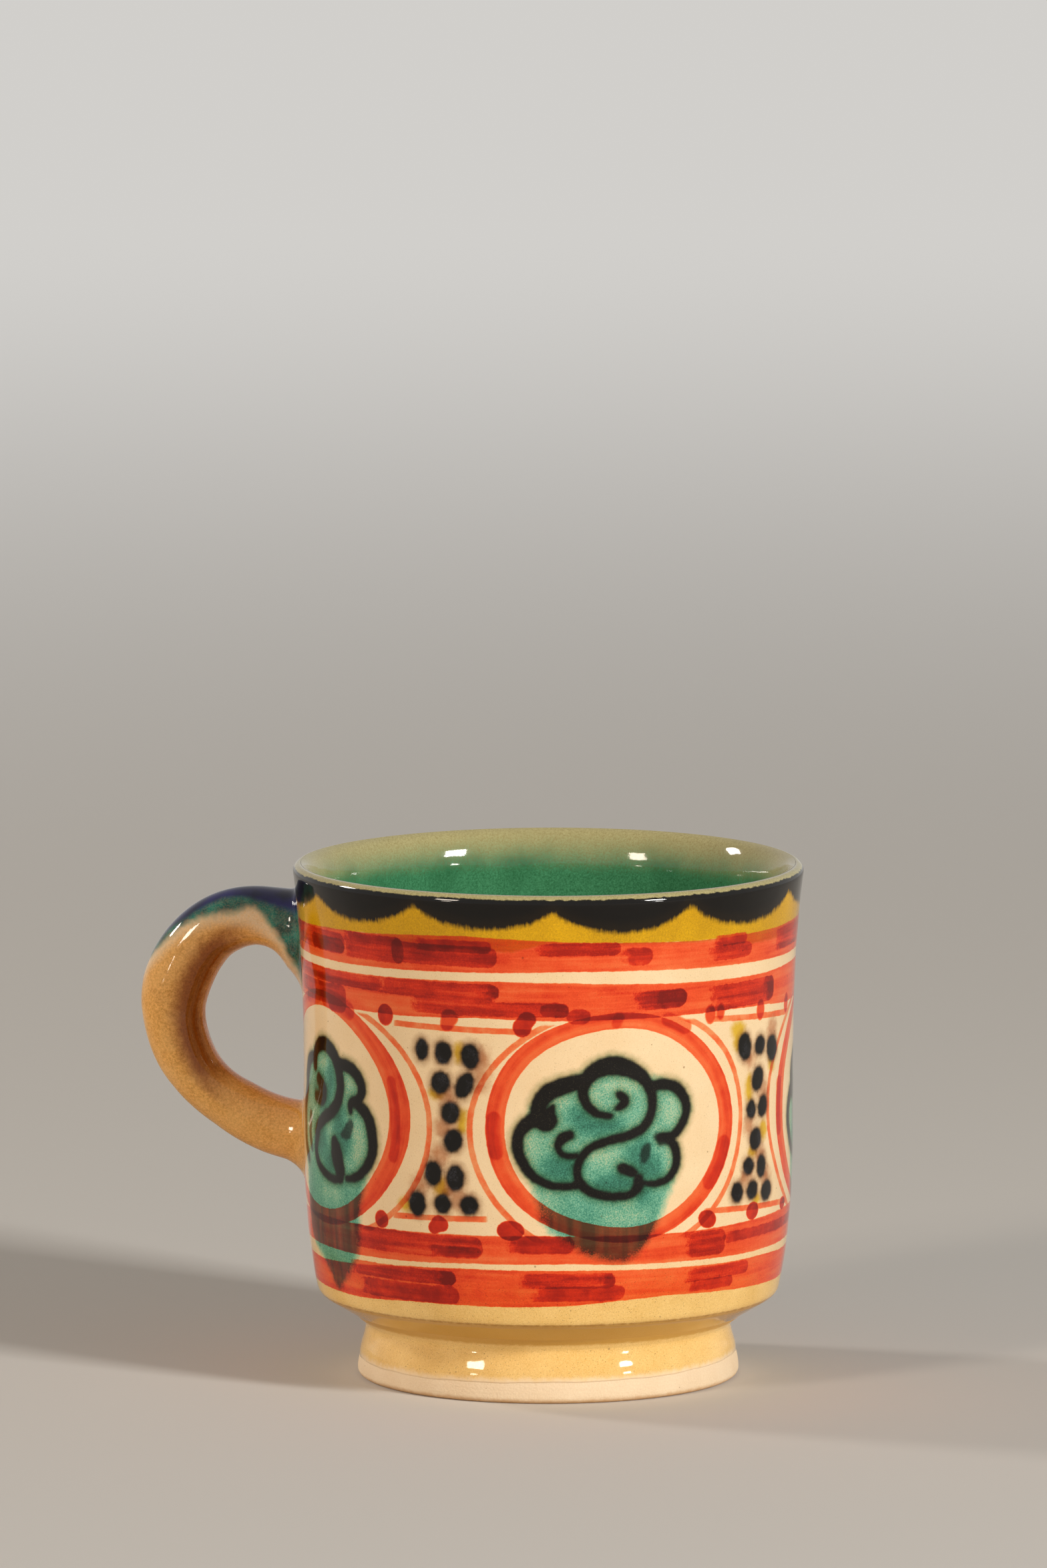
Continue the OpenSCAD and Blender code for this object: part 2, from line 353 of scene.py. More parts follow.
def uneven_stop(obj):
    """Lets the line where the glaze stops rise and fall round the foot."""
    at = places(obj)
    x, y, z = at.T
    turn = np.arctan2(x, -y)
    share = np.clip(1 - (z - GLAZE_STOP) / STOP_RUN, 0, 1) ** FADE_POWER
    waves = sum(height * np.sin(count * turn + start) for height, count, start in STOP_WAVES)
    new_z = z + share * (STOP_RISE + waves)
    grow = 1 + (foot_r(new_z) - foot_r(z)) / np.maximum(np.hypot(x, y), 1)
    at[:, :2] *= grow[:, None]
    at[:, 2] = new_z
    put_places(obj, at)


def thrown(obj):
    """Presses a turned skin in a little, as the hand left it."""
    at = places(obj)
    x, y, z = at.T
    turn = np.arctan2(x, -y)
    radius = np.maximum(np.hypot(x, y), 1e-6)
    rise = np.clip((z - CREASE_H) / (MUG_H - CREASE_H), 0, 1)
    oval = OVAL * (1.5 + np.sin(2 * turn + OVAL_START) + 0.5 * np.sin(3 * turn + 2 * rise))
    rings = RINGS * (1 + np.sin(z / RING_GAP + 2 * np.sin(turn + z / RING_CLIMB)))
    inwards = (oval * mix(FOOT_OVAL, 1, rise) + rings) * np.clip(radius / BASE_R, 0, 1)
    at[:, :2] *= 1 - (inwards / radius)[:, None]
    near_lip = np.clip((z - MUG_H + LIP_RUN) / LIP_RUN, 0, 1) ** 2
    at[:, 2] -= near_lip * LIP_DIP * (1 + np.sin(2 * turn + LIP_START))
    put_places(obj, at)


# %% [markdown]
# Camera
#
# The portrait is taken with a long lens from a little above the lip, and from slightly to
# the right of the line that the handle is square to.

# %% Camera
PHOTO_H = 2349
CAMERA_TURN = 8
CAMERA_PITCH = 7.655
CAMERA_DISTANCE = 2600
CAMERA_HEIGHT = 446.4
CAMERA_SIDE = -4.17
PX_PER_MM = 8.926

turn = math.radians(CAMERA_TURN)
ahead = Vector((-math.sin(turn), math.cos(turn), 0))
right = Vector((math.cos(turn), math.sin(turn), 0))
level_run = CAMERA_DISTANCE * math.cos(math.radians(CAMERA_PITCH))
camera_data = bpy.data.cameras.new("camera")
camera_data.lens = PX_PER_MM * CAMERA_DISTANCE * camera_data.sensor_width / PHOTO_H
camera_data.clip_end = 50
camera = bpy.data.objects.new("camera", camera_data)
camera.location = (-ahead * level_run + right * CAMERA_SIDE + AXIS * CAMERA_HEIGHT) * MM
camera.rotation_euler = (math.radians(90 - CAMERA_PITCH), 0, turn)
bpy.context.scene.collection.objects.link(camera)
bpy.context.scene.camera = camera
print(f"camera lens {camera_data.lens:.1f} mm")

# %% [markdown]
# Where the paint lies
#
# The decoration is brushed on the turning mug: bands first, then rings, then the lobed
# blossoms and the dots between them. A picture wrapped round the wall could hold it, but
# a picture has a fixed sharpness. Here each point of the skin knows how deep inside a
# stroke it lies, in millimetres, and negative outside. The material turns that depth into
# paint with an edge as soft or as crisp as the brush left it, at any size of render.
#
# Places on the wall are given as (s, z): s is the length round the wall to the right of the
# line that faces the camera, and z is the height.

# %% Places on the wall
PAINT_R = 41.2
ROUND = 2 * math.pi * PAINT_R
FAR = -5.0


def wrapped(s):
    return (s + ROUND / 2) % ROUND - ROUND / 2


wall_at = places(painted)
wall_s = wrapped(PAINT_R * (np.arctan2(wall_at[:, 0], -wall_at[:, 1]) - turn))
wall_z = wall_at[:, 2]
wall_paint = {}


def layer(name, value=FAR):
    """A new layer of paint, with none on it yet."""
    wall_paint[name] = np.full(len(wall_z), value)
    return wall_paint[name]


def cover(paint, depth, where=slice(None)):
    """Adds a shape to a layer: the deeper of the two counts."""
    paint[where] = np.maximum(paint[where], depth)


def around(stops):
    """A height that changes along the wall, from (s, z) stops, and closes on itself."""
    s, z = zip(*stops)
    return np.interp(wall_s, s, z, period=ROUND)


def near(s, z, reach_s, reach_z):
    """Which points lie close to a place, and where they lie from it."""
    u, v = wrapped(wall_s - s), wall_z - z
    where = np.flatnonzero((abs(u) < reach_s) & (abs(v) < reach_z))
    return where, u[where], v[where]


# %% Shapes that a brush makes
MARGIN, TINY = 4, 1e-9
PULL_ROUND, DRY_SLOPE, DRY_START = 1.5, 0.12, 0.2


def blob(paint, s, z, width, height, tilt=0):
    """A round touch of the brush. Tilt leans its top to the right, in degrees."""
    a, b = width / 2, height / 2
    reach = max(a, b) + MARGIN
    where, u, v = near(s, z, reach, reach)
    lean = math.radians(tilt)
    x = u * math.cos(lean) - v * math.sin(lean)
    y = u * math.sin(lean) + v * math.cos(lean)
    level = np.maximum(np.hypot(x / a, y / b), 1e-6)
    slope = np.maximum(np.hypot(x / a**2, y / b**2), 1e-6)
    cover(paint, level * (1 - level) / slope, where)


def flowing(points, parts=6):
    """A smooth line through points (Catmull and Rom's way), each with any number of values."""
    p = np.array([points[0], *points, points[-1]], float)
    line = []
    for a, b, c, d in zip(p, p[1:], p[2:], p[3:]):
        for t in np.arange(parts) / parts:
            bend = (2 * a - 5 * b + 4 * c - d) * t**2 + (3 * b - a - 3 * c + d) * t**3
            line.append((2 * b + (c - a) * t + bend) / 2)
    line.append(p[-1])
    return np.array(line)


def near_line(centre, line, past):
    """Which points lie close to a line of (u, v) points, and their own (u, v)."""
    middle = (line.max(0) + line.min(0)) / 2
    reach = (line.max(0) - line.min(0)) / 2 + past
    where, u, v = near(centre[0] + middle[0], centre[1] + middle[1], *reach)
    return where, np.stack([u, v], 1) + middle


def off_segment(at, a, b):
    """How far points lie from a straight piece, and which share of it they lie beside."""
    way = b - a
    share = np.clip((at - a) @ way / max(way @ way, TINY), 0, 1)
    return np.hypot(*(at - a - share[:, None] * way).T), share


def stroke(paint, centre, points, half=None):
    """A brush stroke along (u, v) points from a centre. A third value is its half width."""
    if half is not None:
        points = [(u, v, half) for u, v in points]
    line = flowing(points)
    where, at = near_line(centre, line[:, :2], line[:, 2].max() + MARGIN)
    deepest = np.full(len(at), FAR)
    for a, b in zip(line, line[1:]):
        gap, share = off_segment(at, a[:2], b[:2])
        deepest = np.maximum(deepest, mix(a[2], b[2], share) - gap)
    cover(paint, deepest, where)


def patch(paint, centre, points):
    """A filled shape inside a smooth closed line of (u, v) points from a centre."""
    parts = 4
    line = flowing([points[-1], *points, points[0], points[1]], parts)[parts : -parts - 1]
    where, at = near_line(centre, line, MARGIN)
    x, y = at.T
    nearest = np.full(len(at), -FAR)
    inside = np.zeros(len(at), bool)
    for a, b in zip(line, np.roll(line, -1, 0)):
        nearest = np.minimum(nearest, off_segment(at, a, b)[0])
        run, rise = b - a
        crosses = (a[1] > y) != (b[1] > y)
        inside ^= crosses & (x < a[0] + run * (y - a[1]) / (rise or TINY))
    cover(paint, np.where(inside, nearest, -nearest), where)


def coat(paint, start, end, low, high, fade=0):
    """A second pull of the brush along a band. The end at fade (-1 left, 1 right) dries out."""
    radius = min(PULL_ROUND, (high - low) / 2)
    half = ((end - start) / 2, (high - low) / 2)
    where, u, v = near((start + end) / 2, (low + high) / 2, half[0] + MARGIN, half[1] + MARGIN)
    x, y = abs(u) - half[0] + radius, abs(v) - half[1] + radius
    outside = np.hypot(np.maximum(x, 0), np.maximum(y, 0)) + np.minimum(np.maximum(x, y), 0)
    depth = radius - outside
    if fade:
        depth = np.minimum(depth, (half[0] - fade * u) * DRY_SLOPE - DRY_START)
    cover(paint, depth, where)


# %% [markdown]
# Bands
#
# A loaded brush is held against the mug while the wheel turns, so the bands rise and fall
# a little as the hand drifts. The red is laid in pulls, and where two pulls overlap it is
# darker, with a round end. Yellow is laid above the red, and black above the yellow, in
# hanging arcs that leave a row of yellow points.

# %% Bands, their second coats, and the scalloped black
YELLOW_FOOT = around([
    (-56, 78.1), (-44, 78.7), (-32, 79.1), (-24, 79.6), (-14, 80.0), (-4, 79.6), (4, 79.2),
    (16, 78.8), (26, 78.4), (46, 78.4), (54, 78.6), (100, 79.0),
])
# The lower and upper edge of each band. The first one reaches up to the yellow
BANDS = (
    ([(-55, 73.2), (-38, 73.3), (-26, 73.6), (-14, 73.9), (4, 74.3), (16, 74.1), (28, 73.7),
      (52, 73.2), (110, 73.9)],
     None),
    ([(-60, 65.6), (-26, 65.8), (-12, 66.3), (0, 66.0), (15, 66.0), (34, 66.1), (44, 65.7),
      (54, 64.8), (110, 66.2)],
     [(-56, 71.6), (-44, 71.7), (-30, 72.0), (-8, 72.5), (4, 72.3), (22, 71.5), (34, 71.2),
      (44, 71.1), (54, 71.4), (110, 71.9)]),
    ([(-38, 24.2), (-26, 24.4), (-12, 24.9), (4, 25.1), (12, 24.7), (28, 24.4), (40, 24.2),
      (55, 24.2), (110, 24.7)],
     [(-35, 29.4), (0, 29.8), (25, 29.4), (55, 29.9), (110, 29.4)]),
    ([(-50, 16.9), (-38, 16.8), (-24, 17.6), (-6, 17.6), (4, 17.9), (12, 18.5), (22, 18.9),
      (34, 18.4), (54, 17.7), (110, 17.6)],
     [(-50, 21.7), (-38, 22.5), (-26, 23.5), (-14, 23.9), (4, 23.9), (22, 23.5), (34, 23.2),
      (46, 23.1), (54, 22.7), (110, 23.2)]),
)
band = layer("band")
for low, high in BANDS:
    top = YELLOW_FOOT if high is None else around(high)
    cover(band, np.minimum(wall_z - around(low), top - wall_z))

# Each pull of the brush: where it starts and ends, its lowest and highest point, and the dry end
FIRST_COATS = (
    (-62, -39, 74.6, 78.2, -1), (-40, -25.2, 74.5, 78.9, -1), (-27, -8.5, 74.8, 78.3, 0),
    (-3, 12, 76.9, 79.1, -1), (27.6, 38.7, 74.6, 77.2, -1), (45.5, 62, 74.4, 78.2, -1),
    (-62, -30.4, 69.4, 71.7, -1), (-32, -8.2, 69.2, 72.0, -1), (-25, 3.4, 66.6, 69.0, -1),
    (13.3, 24.2, 67.4, 70.6, -1), (28, 46.8, 66.2, 70.4, -1), (-39, -11.3, 25.6, 29.4, -1),
    (23.4, 33.5, 24.9, 29.2, -1), (-41, -16.2, 20.9, 23.3, -1), (-6, 11.6, 20.8, 23.4, -1),
    (24, 40.6, 20.7, 23.0, -1),
)
SECOND_COATS = (
    (-27.6, -25.2, 74.4, 78.8, 0), (-50.5, -39, 74.8, 77.2, 0), (-24, -9.4, 77.2, 79.2, -1),
    (28.5, 37.2, 77.0, 78.8, -1), (11.3, 17.5, 75.0, 78.0, -1), (-45, -39.2, 64.6, 69.4, 0),
    (-60, -40, 66.6, 69.2, -1), (3.0, 6.9, 65.4, 67.9, 0), (17.2, 24.2, 67.5, 70.5, -1),
    (-1.5, 3.4, 66.7, 68.8, 0), (42.4, 46.8, 66.3, 70.4, -1), (-11.6, -8.2, 69.4, 71.9, -1),
    (-8, 4.4, 26.8, 29.8, -1), (32, 62, 26.6, 28.4, -1), (-38, -15.8, 17.6, 20.6, -1),
    (-4, 13.4, 18.6, 21.2, -1), (24.6, 36.4, 19.0, 20.9, -1), (-21, -16.3, 20.8, 23.2, -1),
    (8, 11.6, 21.0, 23.3, -1), (-22, -11.6, 25.8, 27.6, -1),
)
# The pulls that start in the front half are painted again at the back
FRONT_START, FRONT_END, BACK_SHIFT = -42, 45, 112
for name, pulls in (("coat", FIRST_COATS), ("coat_again", SECOND_COATS)):
    paint = layer(name)
    for start, end, *rest in pulls:
        coat(paint, start, end, *rest)
        if FRONT_START < start < FRONT_END:
            coat(paint, start + BACK_SHIFT, end + BACK_SHIFT, *rest)

YELLOW_BELOW = around([
    (-60, 0.3), (-30, 0.2), (-26, 2.4), (-6, 2.2), (0, 0.3), (34, 0.2), (38, 1.8), (58, 1.8),
])
wall_paint["yellow"] = wall_z - YELLOW_FOOT + YELLOW_BELOW

# The yellow peaks that the photograph shows, and six more round the back
PEAKS = [(-46.5, 83.8), (-22.8, 84.4), (0.6, 84.1), (24.2, 84.4), (50.5, 84.0)]
PEAK_GAP = 23.13
PEAKS += [(50.5 + PEAK_GAP * i, 84.1 + 0.2 * (i % 2)) for i in range(1, 7)]
PEAK_RUN, PEAK_TIP = 4.3, 0.6
arcs = around([(-35, 80.5), (-11, 80.9), (12, 80.2), (37, 80.0), (62, 80.3), (110, 80.5)])
rise = np.zeros(len(wall_z))
for s, z in PEAKS:
    run = np.hypot(wrapped(wall_s - s), PEAK_TIP) - PEAK_TIP
    rise = np.maximum(rise, (z - arcs) * np.exp(-run / PEAK_RUN))
wall_paint["black_top"] = wall_z - arcs - rise

# %% [markdown]
# Rings and panels
#
# A wide red ring and a thin orange one frame each blossom. Between two frames stands an
# hourglass panel with a thin line above and below. A line as thin as the mesh would look
# like a row of beads, so thin strokes are stored as the distance from their middle line,
# which the mesh carries exactly, and the material gives them their width.

# %% Rings
MIDDLE_H = 47.8
FRONT, LEFT, RIGHT, BACK = 11.8, -48.2, 71.8, 131.8
# For each frame: half widths of the wide ring inside and outside, and of the thin ring
FRAMES = {
    FRONT: (19.2, 22.4, 25.2),
    LEFT: (19.5, 23.9, 27.4),
    RIGHT: (20.2, 23.3, 26.4),
    BACK: (19.4, 22.8, 25.9),
}
RING_HIGH_IN, RING_HIGH_OUT = 16.9, 19.5
THIN_HIGH_UP, THIN_HIGH_DOWN = 20.0, 22.0
THIN_RUN_UP, THIN_RUN_DOWN = 17.4, 19.0
SLOW_DRIFT, QUICK_DRIFT = 0.25, 0.15


def ellipse_gap(u, v, a, b):
    """Distance outside an ellipse, negative inside it."""
    level = np.maximum(np.hypot(u / a, v / b), 1e-3)
    slope = np.maximum(np.hypot(u / a**2, v / b**2), 1e-3)
    return np.clip(level * (level - 1) / slope, FAR * 3, -FAR * 3)


ring = layer("ring")
ring_across = layer("ring_across", -FAR)
thin_ring = layer("thin_ring", -FAR * 3)
for middle, (inner, outer, thin) in FRAMES.items():
    u, v = wrapped(wall_s - middle), wall_z - MIDDLE_H
    turns = np.arctan2(v, u)
    drift = SLOW_DRIFT * np.sin(2 * turns + middle)
    drift += QUICK_DRIFT * np.sin(5 * turns + 2 * middle)
    past_inner = ellipse_gap(u, v, inner, RING_HIGH_IN) + drift
    past_outer = ellipse_gap(u, v, outer, RING_HIGH_OUT) + drift
    cover(ring, np.minimum(past_inner, -past_outer))
    np.copyto(ring_across, past_inner, where=abs(past_inner) < abs(ring_across))
    thin_high = np.where(v > 0, THIN_HIGH_UP, THIN_HIGH_DOWN)
    past_thin = ellipse_gap(u, v, thin, thin_high) - drift
    np.minimum(thin_ring, past_thin, out=thin_ring)

ring_coat = layer("ring_coat")
RING_COATS = (
    (FRONT, [(-21.0, 1.6), (-21.1, -0.5), (-20.6, -4.0)], 1.25),
    (FRONT, [(20.6, -4.2), (19.4, -7.4), (17.4, -10.2)], 1.45),
    (FRONT, [(8.8, 17.8), (12.2, 16.2)], 1.2),
    (FRONT, [(0.0, 18.6), (-0.4, 17.6)], 0.9),
    (LEFT, [(19.8, 6.6), (20.6, 2.0), (20.7, -3.0), (20.2, -6.0)], 1.0),
    (LEFT, [(2.0, 18.8), (6.0, 18.5), (9.6, 17.4)], 1.6),
    (LEFT, [(-6.0, 18.0), (-1.0, 18.6)], 1.2),
    (RIGHT, [(-21.8, 4.0), (-22.2, 0.0), (-21.8, -4.0)], 1.1),
    (BACK, [(21.0, 3.0), (21.3, -3.0), (19.6, -8.0)], 1.2),
    (BACK, [(-20.6, 6.0), (-21.5, 1.0)], 1.0),
)
for middle, points, half in RING_COATS:
    stroke(ring_coat, (middle, MIDDLE_H), points, half)

# %% Panel lines
# Each line: where it starts and ends, and its height at both ends
TOP_LINES = (
    (-27.5, -3.0, 64.4, 64.1), (30.0, 54.5, 64.8, 63.1), (92, 113, 64.4, 64.2),
    (-104, -72, 64.2, 64.6),
)
LOW_LINES = (
    (-28.0, -10.5, 32.0, 32.5), (28.5, 55.0, 32.6, 31.0), (92, 113, 32.3, 32.2),
    (-104, -72, 32.2, 32.0),
)
TOP_LINE_H, LOW_LINE_H = 64.3, 32.2
LINE_CLIP, LINE_MARGIN = 5.0, 3
line_depth = layer("line_ends")
heights = []
upper = wall_z > MIDDLE_H
for lines, usual, in_half in ((TOP_LINES, TOP_LINE_H, upper), (LOW_LINES, LOW_LINE_H, ~upper)):
    height = np.full(len(wall_z), usual)
    for start, end, first, last in lines:
        share = np.clip((wall_s - start) / (end - start), 0, 1)
        inside = (wall_s > start - LINE_MARGIN) & (wall_s < end + LINE_MARGIN)
        height = np.where(inside, mix(first, last, share), height)
        cover(line_depth, np.where(in_half, np.minimum(wall_s - start, end - wall_s), FAR))
    heights.append(height)
above = np.maximum(wall_z - heights[0], -LINE_CLIP)
below = np.maximum(heights[1] - wall_z, -LINE_CLIP)
wall_paint["line_across"] = np.where(upper, above, below)

# %% [markdown]
# Drops and dots
#
# Where two bands of colour meet, the painter sets a round drop of dark red with the tip of
# the brush, and fills the hourglass panels with dots of black. The black sits in the glaze
# and bleeds a little, with yellow touches beside it and a brown haze round it.

# %% Drops, dots, touches and haze
# Each drop or dot: place along the wall, height, its width and height, and its tilt if any
DROPS = (
    (-29.5, 65.6, 3.3, 3.6), (-4.4, 64.9, 3.1, 3.3), (-3.6, 66.2, 3.0, 2.6), (-30.8, 31, 3, 3),
    (-18.9, 31.3, 3.2, 2.6, 20), (-19.9, 30.6, 2.2, 2.2), (-6.4, 30.7, 4.6, 3.4),
    (29, 31.2, 4, 3, 20), (40.6, 31.2, 3.7, 3), (52.9, 30.8, 3, 2.2), (91, 65.6, 3, 3.4),
    (102, 65.3, 2.8, 3.2), (113, 65.5, 3, 3.4), (90, 31.1, 3.4, 3), (101, 31.2, 3, 2.8),
    (113.4, 30.9, 3.8, 3.2), (-103, 65.5, 3, 3.4), (-91, 65.6, 2.8, 3), (-79, 65.4, 3.2, 3.2),
    (-104, 31, 3.6, 3), (-92, 31.2, 3.2, 3), (-80, 31, 3, 3),
)
PALE_DROPS = (
    (-16.9, 66.1, 3.0, 2.8), (-17.3, 65.0, 2.4, 2.4), (29.2, 65.7, 2.2, 3.2),
    (31.5, 65.9, 1.6, 2.8), (42.3, 65, 2.4, 3.5), (53.3, 64.7, 2.2, 3.5),
)
for name, marks in (("drops", DROPS), ("pale_drops", PALE_DROPS)):
    paint = layer(name)
    for mark in marks:
        blob(paint, *mark)

LEFT_PANEL, RIGHT_PANEL, BACK_LEFT_PANEL, BACK_RIGHT_PANEL = -18.0, 41.0, 101.9, -88.4
# In a panel the place along the wall is counted from its middle line
LEFT_DOTS = (
    (-4.1, 60.4, 2.4, 3.7), (-0.1, 60.1, 3.1, 3.9), (4.7, 59.8, 3.2, 4.3),
    (-0.6, 55.1, 3.4, 3.8, 20), (3.7, 54.8, 2.9, 4.6, 25), (1.2, 50.1, 3.2, 3.7),
    (1.7, 45.4, 3.3, 3.9, 15), (-2.0, 39.7, 3.1, 4.1), (2.1, 39.2, 3.1, 4.4),
    (-5.1, 34.4, 3.2, 4.2), (-0.3, 34.7, 3.0, 3.3), (4.5, 34.7, 3.2, 3.3),
)
RIGHT_DOTS = (
    (-3.2, 59.3, 3.5, 4.6, -12), (1.4, 59.0, 3.2, 3.2), (5.7, 58.0, 3.9, 4.4, -25),
    (0.7, 53.4, 3.5, 4.1, 20), (-1.3, 48.5, 2.6, 3.1), (2.3, 48.6, 3.0, 3.7, 20),
    (0.1, 43.3, 3.5, 3.7), (-2.0, 39.0, 3.0, 2.9), (2.0, 38.5, 2.9, 3.8),
    (-5.0, 34.9, 3.0, 3.5, -15), (-0.7, 34.8, 3.2, 3.2), (4.0, 34.1, 3.6, 3.4),
)
LEFT_TOUCHES = (
    (2.8, 60.3, 2.4, 3.4), (-1.3, 53.2, 3, 2), (3.3, 48.7, 2, 4.4), (-0.5, 37.4, 2.5, 4),
    (-7.4, 34.1, 3, 2.6),
)
RIGHT_TOUCHES = (
    (-5.0, 62.3, 3.8, 3.0), (-1.9, 52.2, 2.2, 5), (2.5, 44.6, 2.6, 3.4), (-0.9, 41.3, 2.8, 2.2),
    (5.6, 55.4, 2.5, 3.0), (0.7, 33.0, 2.8, 2.0), (-5.2, 60.5, 2.2, 3.6),
)
LEFT_HAZE = (
    (6.6, 57.6, 2.4, 7), (0.6, 52.8, 2.6, 2.4), (0, 47.6, 3.0, 2.6), (-1.0, 42.8, 3.0, 3.0),
    (0.8, 37.2, 2.6, 2.6), (2.6, 35.6, 2.8, 2.8), (-4.6, 37.6, 2.4, 2.6),
)
RIGHT_HAZE = (
    (5.7, 61.2, 2.6, 3.6), (-1.8, 57.0, 2.4, 2.2), (2.8, 51.2, 2.6, 2.4), (-2.0, 45.8, 2.4, 2.6),
    (1.6, 40.6, 2.8, 2.0), (-2.6, 37.0, 3.0, 2.2), (3.8, 36.6, 2.4, 2.4),
)
PANELS = (
    (LEFT_PANEL, LEFT_DOTS, LEFT_TOUCHES, LEFT_HAZE),
    (RIGHT_PANEL, RIGHT_DOTS, RIGHT_TOUCHES, RIGHT_HAZE),
    (BACK_LEFT_PANEL, LEFT_DOTS, LEFT_TOUCHES, LEFT_HAZE),
    (BACK_RIGHT_PANEL, RIGHT_DOTS, RIGHT_TOUCHES, RIGHT_HAZE),
)
panel_layers = [layer(name) for name in ("dots", "touches", "haze")]
for middle, *panel in PANELS:
    for paint, marks in zip(panel_layers, panel):
        for across, *size in marks:
            blob(paint, middle + across, *size)

# %% [markdown]
# Blossoms
#
# Each frame holds a lobed blossom in the old brush style of glazed country ware: a black
# outline drawn with one loaded brush, a double curl in its middle, and a turquoise wash
# that runs down past the outline. Strokes are lines through a few places, as a painter
# would put them, with the brush's half width where it swells.

# %% The outlines, from each blossom's middle
FRONT_OUTLINE = (
    # The double curl
    [(-1.4, 2.2, 0.55), (-3.6, 2.6, 0.75), (-5.5, 4.3, 0.85), (-6.1, 6.4, 1.0), (-5.3, 8.7, 1.25),
     (-3.4, 10.1, 1.5), (-0.9, 10.6, 1.65), (1.9, 9.9, 1.45), (4.3, 8.3, 1.15), (5.7, 6.0, 0.9),
     (6.0, 3.5, 0.85), (5.4, 1.4, 0.85), (3.9, -0.3, 0.85), (1.4, -1.3, 0.85), (-1.5, -1.9, 0.8),
     (-4.5, -2.9, 0.75), (-6.3, -4.6, 0.75), (-7.0, -6.6, 0.75), (-6.7, -8.7, 0.8),
     (-4.9, -10.4, 0.85), (-2.4, -11.2, 0.8), (0.5, -11.4, 0.75), (2.4, -11.0, 0.8),
     (3.4, -9.9, 0.9), (3.5, -8.6, 0.9)],
    # Upper left lobe and its hook
    [(-5.8, 8.2, 1.3), (-9.0, 7.5, 1.45), (-11.8, 6.3, 1.5), (-13.3, 4.5, 1.4), (-13.4, 2.8, 1.5)],
    [(-13.2, 2.2, 1.7), (-12.2, 1.6, 1.9), (-11.6, 2.6, 1.0), (-11.2, 4.0, 0.5)],
    # Left lobe and the curl inside it
    [(-13.6, 2.2, 1.3), (-15.6, 0.9, 1.2), (-16.8, -0.8, 1.05), (-17.0, -2.9, 1.0),
     (-16.3, -5.2, 0.95), (-14.5, -7.7, 0.85), (-12.0, -9.1, 0.75), (-9.4, -9.5, 0.7),
     (-7.2, -9.3, 0.7)],
    [(-8.4, -0.9, 0.9), (-9.6, -1.4, 0.95), (-10.3, -2.8, 0.65), (-9.3, -4.2, 0.6),
     (-7.3, -4.4, 0.55)],
    # The two lobes on the right
    [(5.6, 6.7, 1.0), (8.3, 7.0, 1.0), (10.7, 6.1, 1.0), (12.2, 4.2, 0.95), (12.5, 2.1, 0.85),
     (11.5, -0.1, 0.85), (9.9, -1.7, 0.8), (7.6, -1.9, 0.85)],
    [(8.2, -1.9, 0.8), (9.8, -3.0, 0.85), (10.6, -5.1, 0.85), (10.2, -7.4, 0.8), (8.7, -9.0, 0.7),
     (6.3, -9.6, 0.6), (4.3, -9.3, 0.5)],
    # Touches inside
    [(0.1, 5.7, 0.7), (1.1, 4.7, 0.85), (0.4, 3.7, 0.7), (-0.5, 3.4, 0.4)],
    [(0.6, -6.6, 0.9), (1.6, -7.1, 0.95), (2.7, -7.6, 0.8)],
)
FRONT_FAINT = (
    [(5.0, -3.3, 0.6), (4.7, -4.4, 0.85), (4.5, -5.6, 0.6)],
    [(7.0, -1.8, 0.7), (7.9, -2.4, 0.9)],
)
FRONT_WASH = (
    (-6, 9), (-1, 11.5), (4.5, 8.5), (9, 7), (12.2, 4.2), (12.3, 1.2), (9.5, -2), (10.6, -5.5),
    (9.4, -9.9), (8.2, -12.6), (6.9, -15.6), (4.9, -18.9), (2.2, -21.6), (-1.4, -21.8),
    (-6.1, -20.2), (-9.7, -18), (-12.4, -15.4), (-13.4, -12.4), (-14.4, -8.6), (-17, -3),
    (-15, 1.4), (-14, 4), (-10, 7),
)
FRONT_DEEP = (
    (4.2, -5.6, 3.4, 8), (4.0, -9.5, 3.0, 6), (-9.5, -6.4, 6.5, 4.5), (-3.5, 0.6, 8, 3),
    (5.6, -6.8, 4.5, 4.5), (-0.5, -9.2, 8, 3.4), (-6.5, 2.0, 3.5, 3.5), (3.0, -4.4, 3.0, 3.4),
)
FRONT_PALE = (
    (-15.2, -2.6, 2.4, 5.5), (0.5, 7.2, 7, 2.6), (-4.4, 5.4, 2.0, 4.6), (9.8, 2.6, 3.6, 4.6),
    (9.0, -5.4, 1.8, 4.6), (-10.2, 5.0, 3.4, 1.6), (-3.0, -4.4, 4.6, 1.8), (-12.4, -13.0, 3.4, 5.0),
    (1.5, -15.0, 9, 3), (2.2, -13.6, 3, 6.5),
)
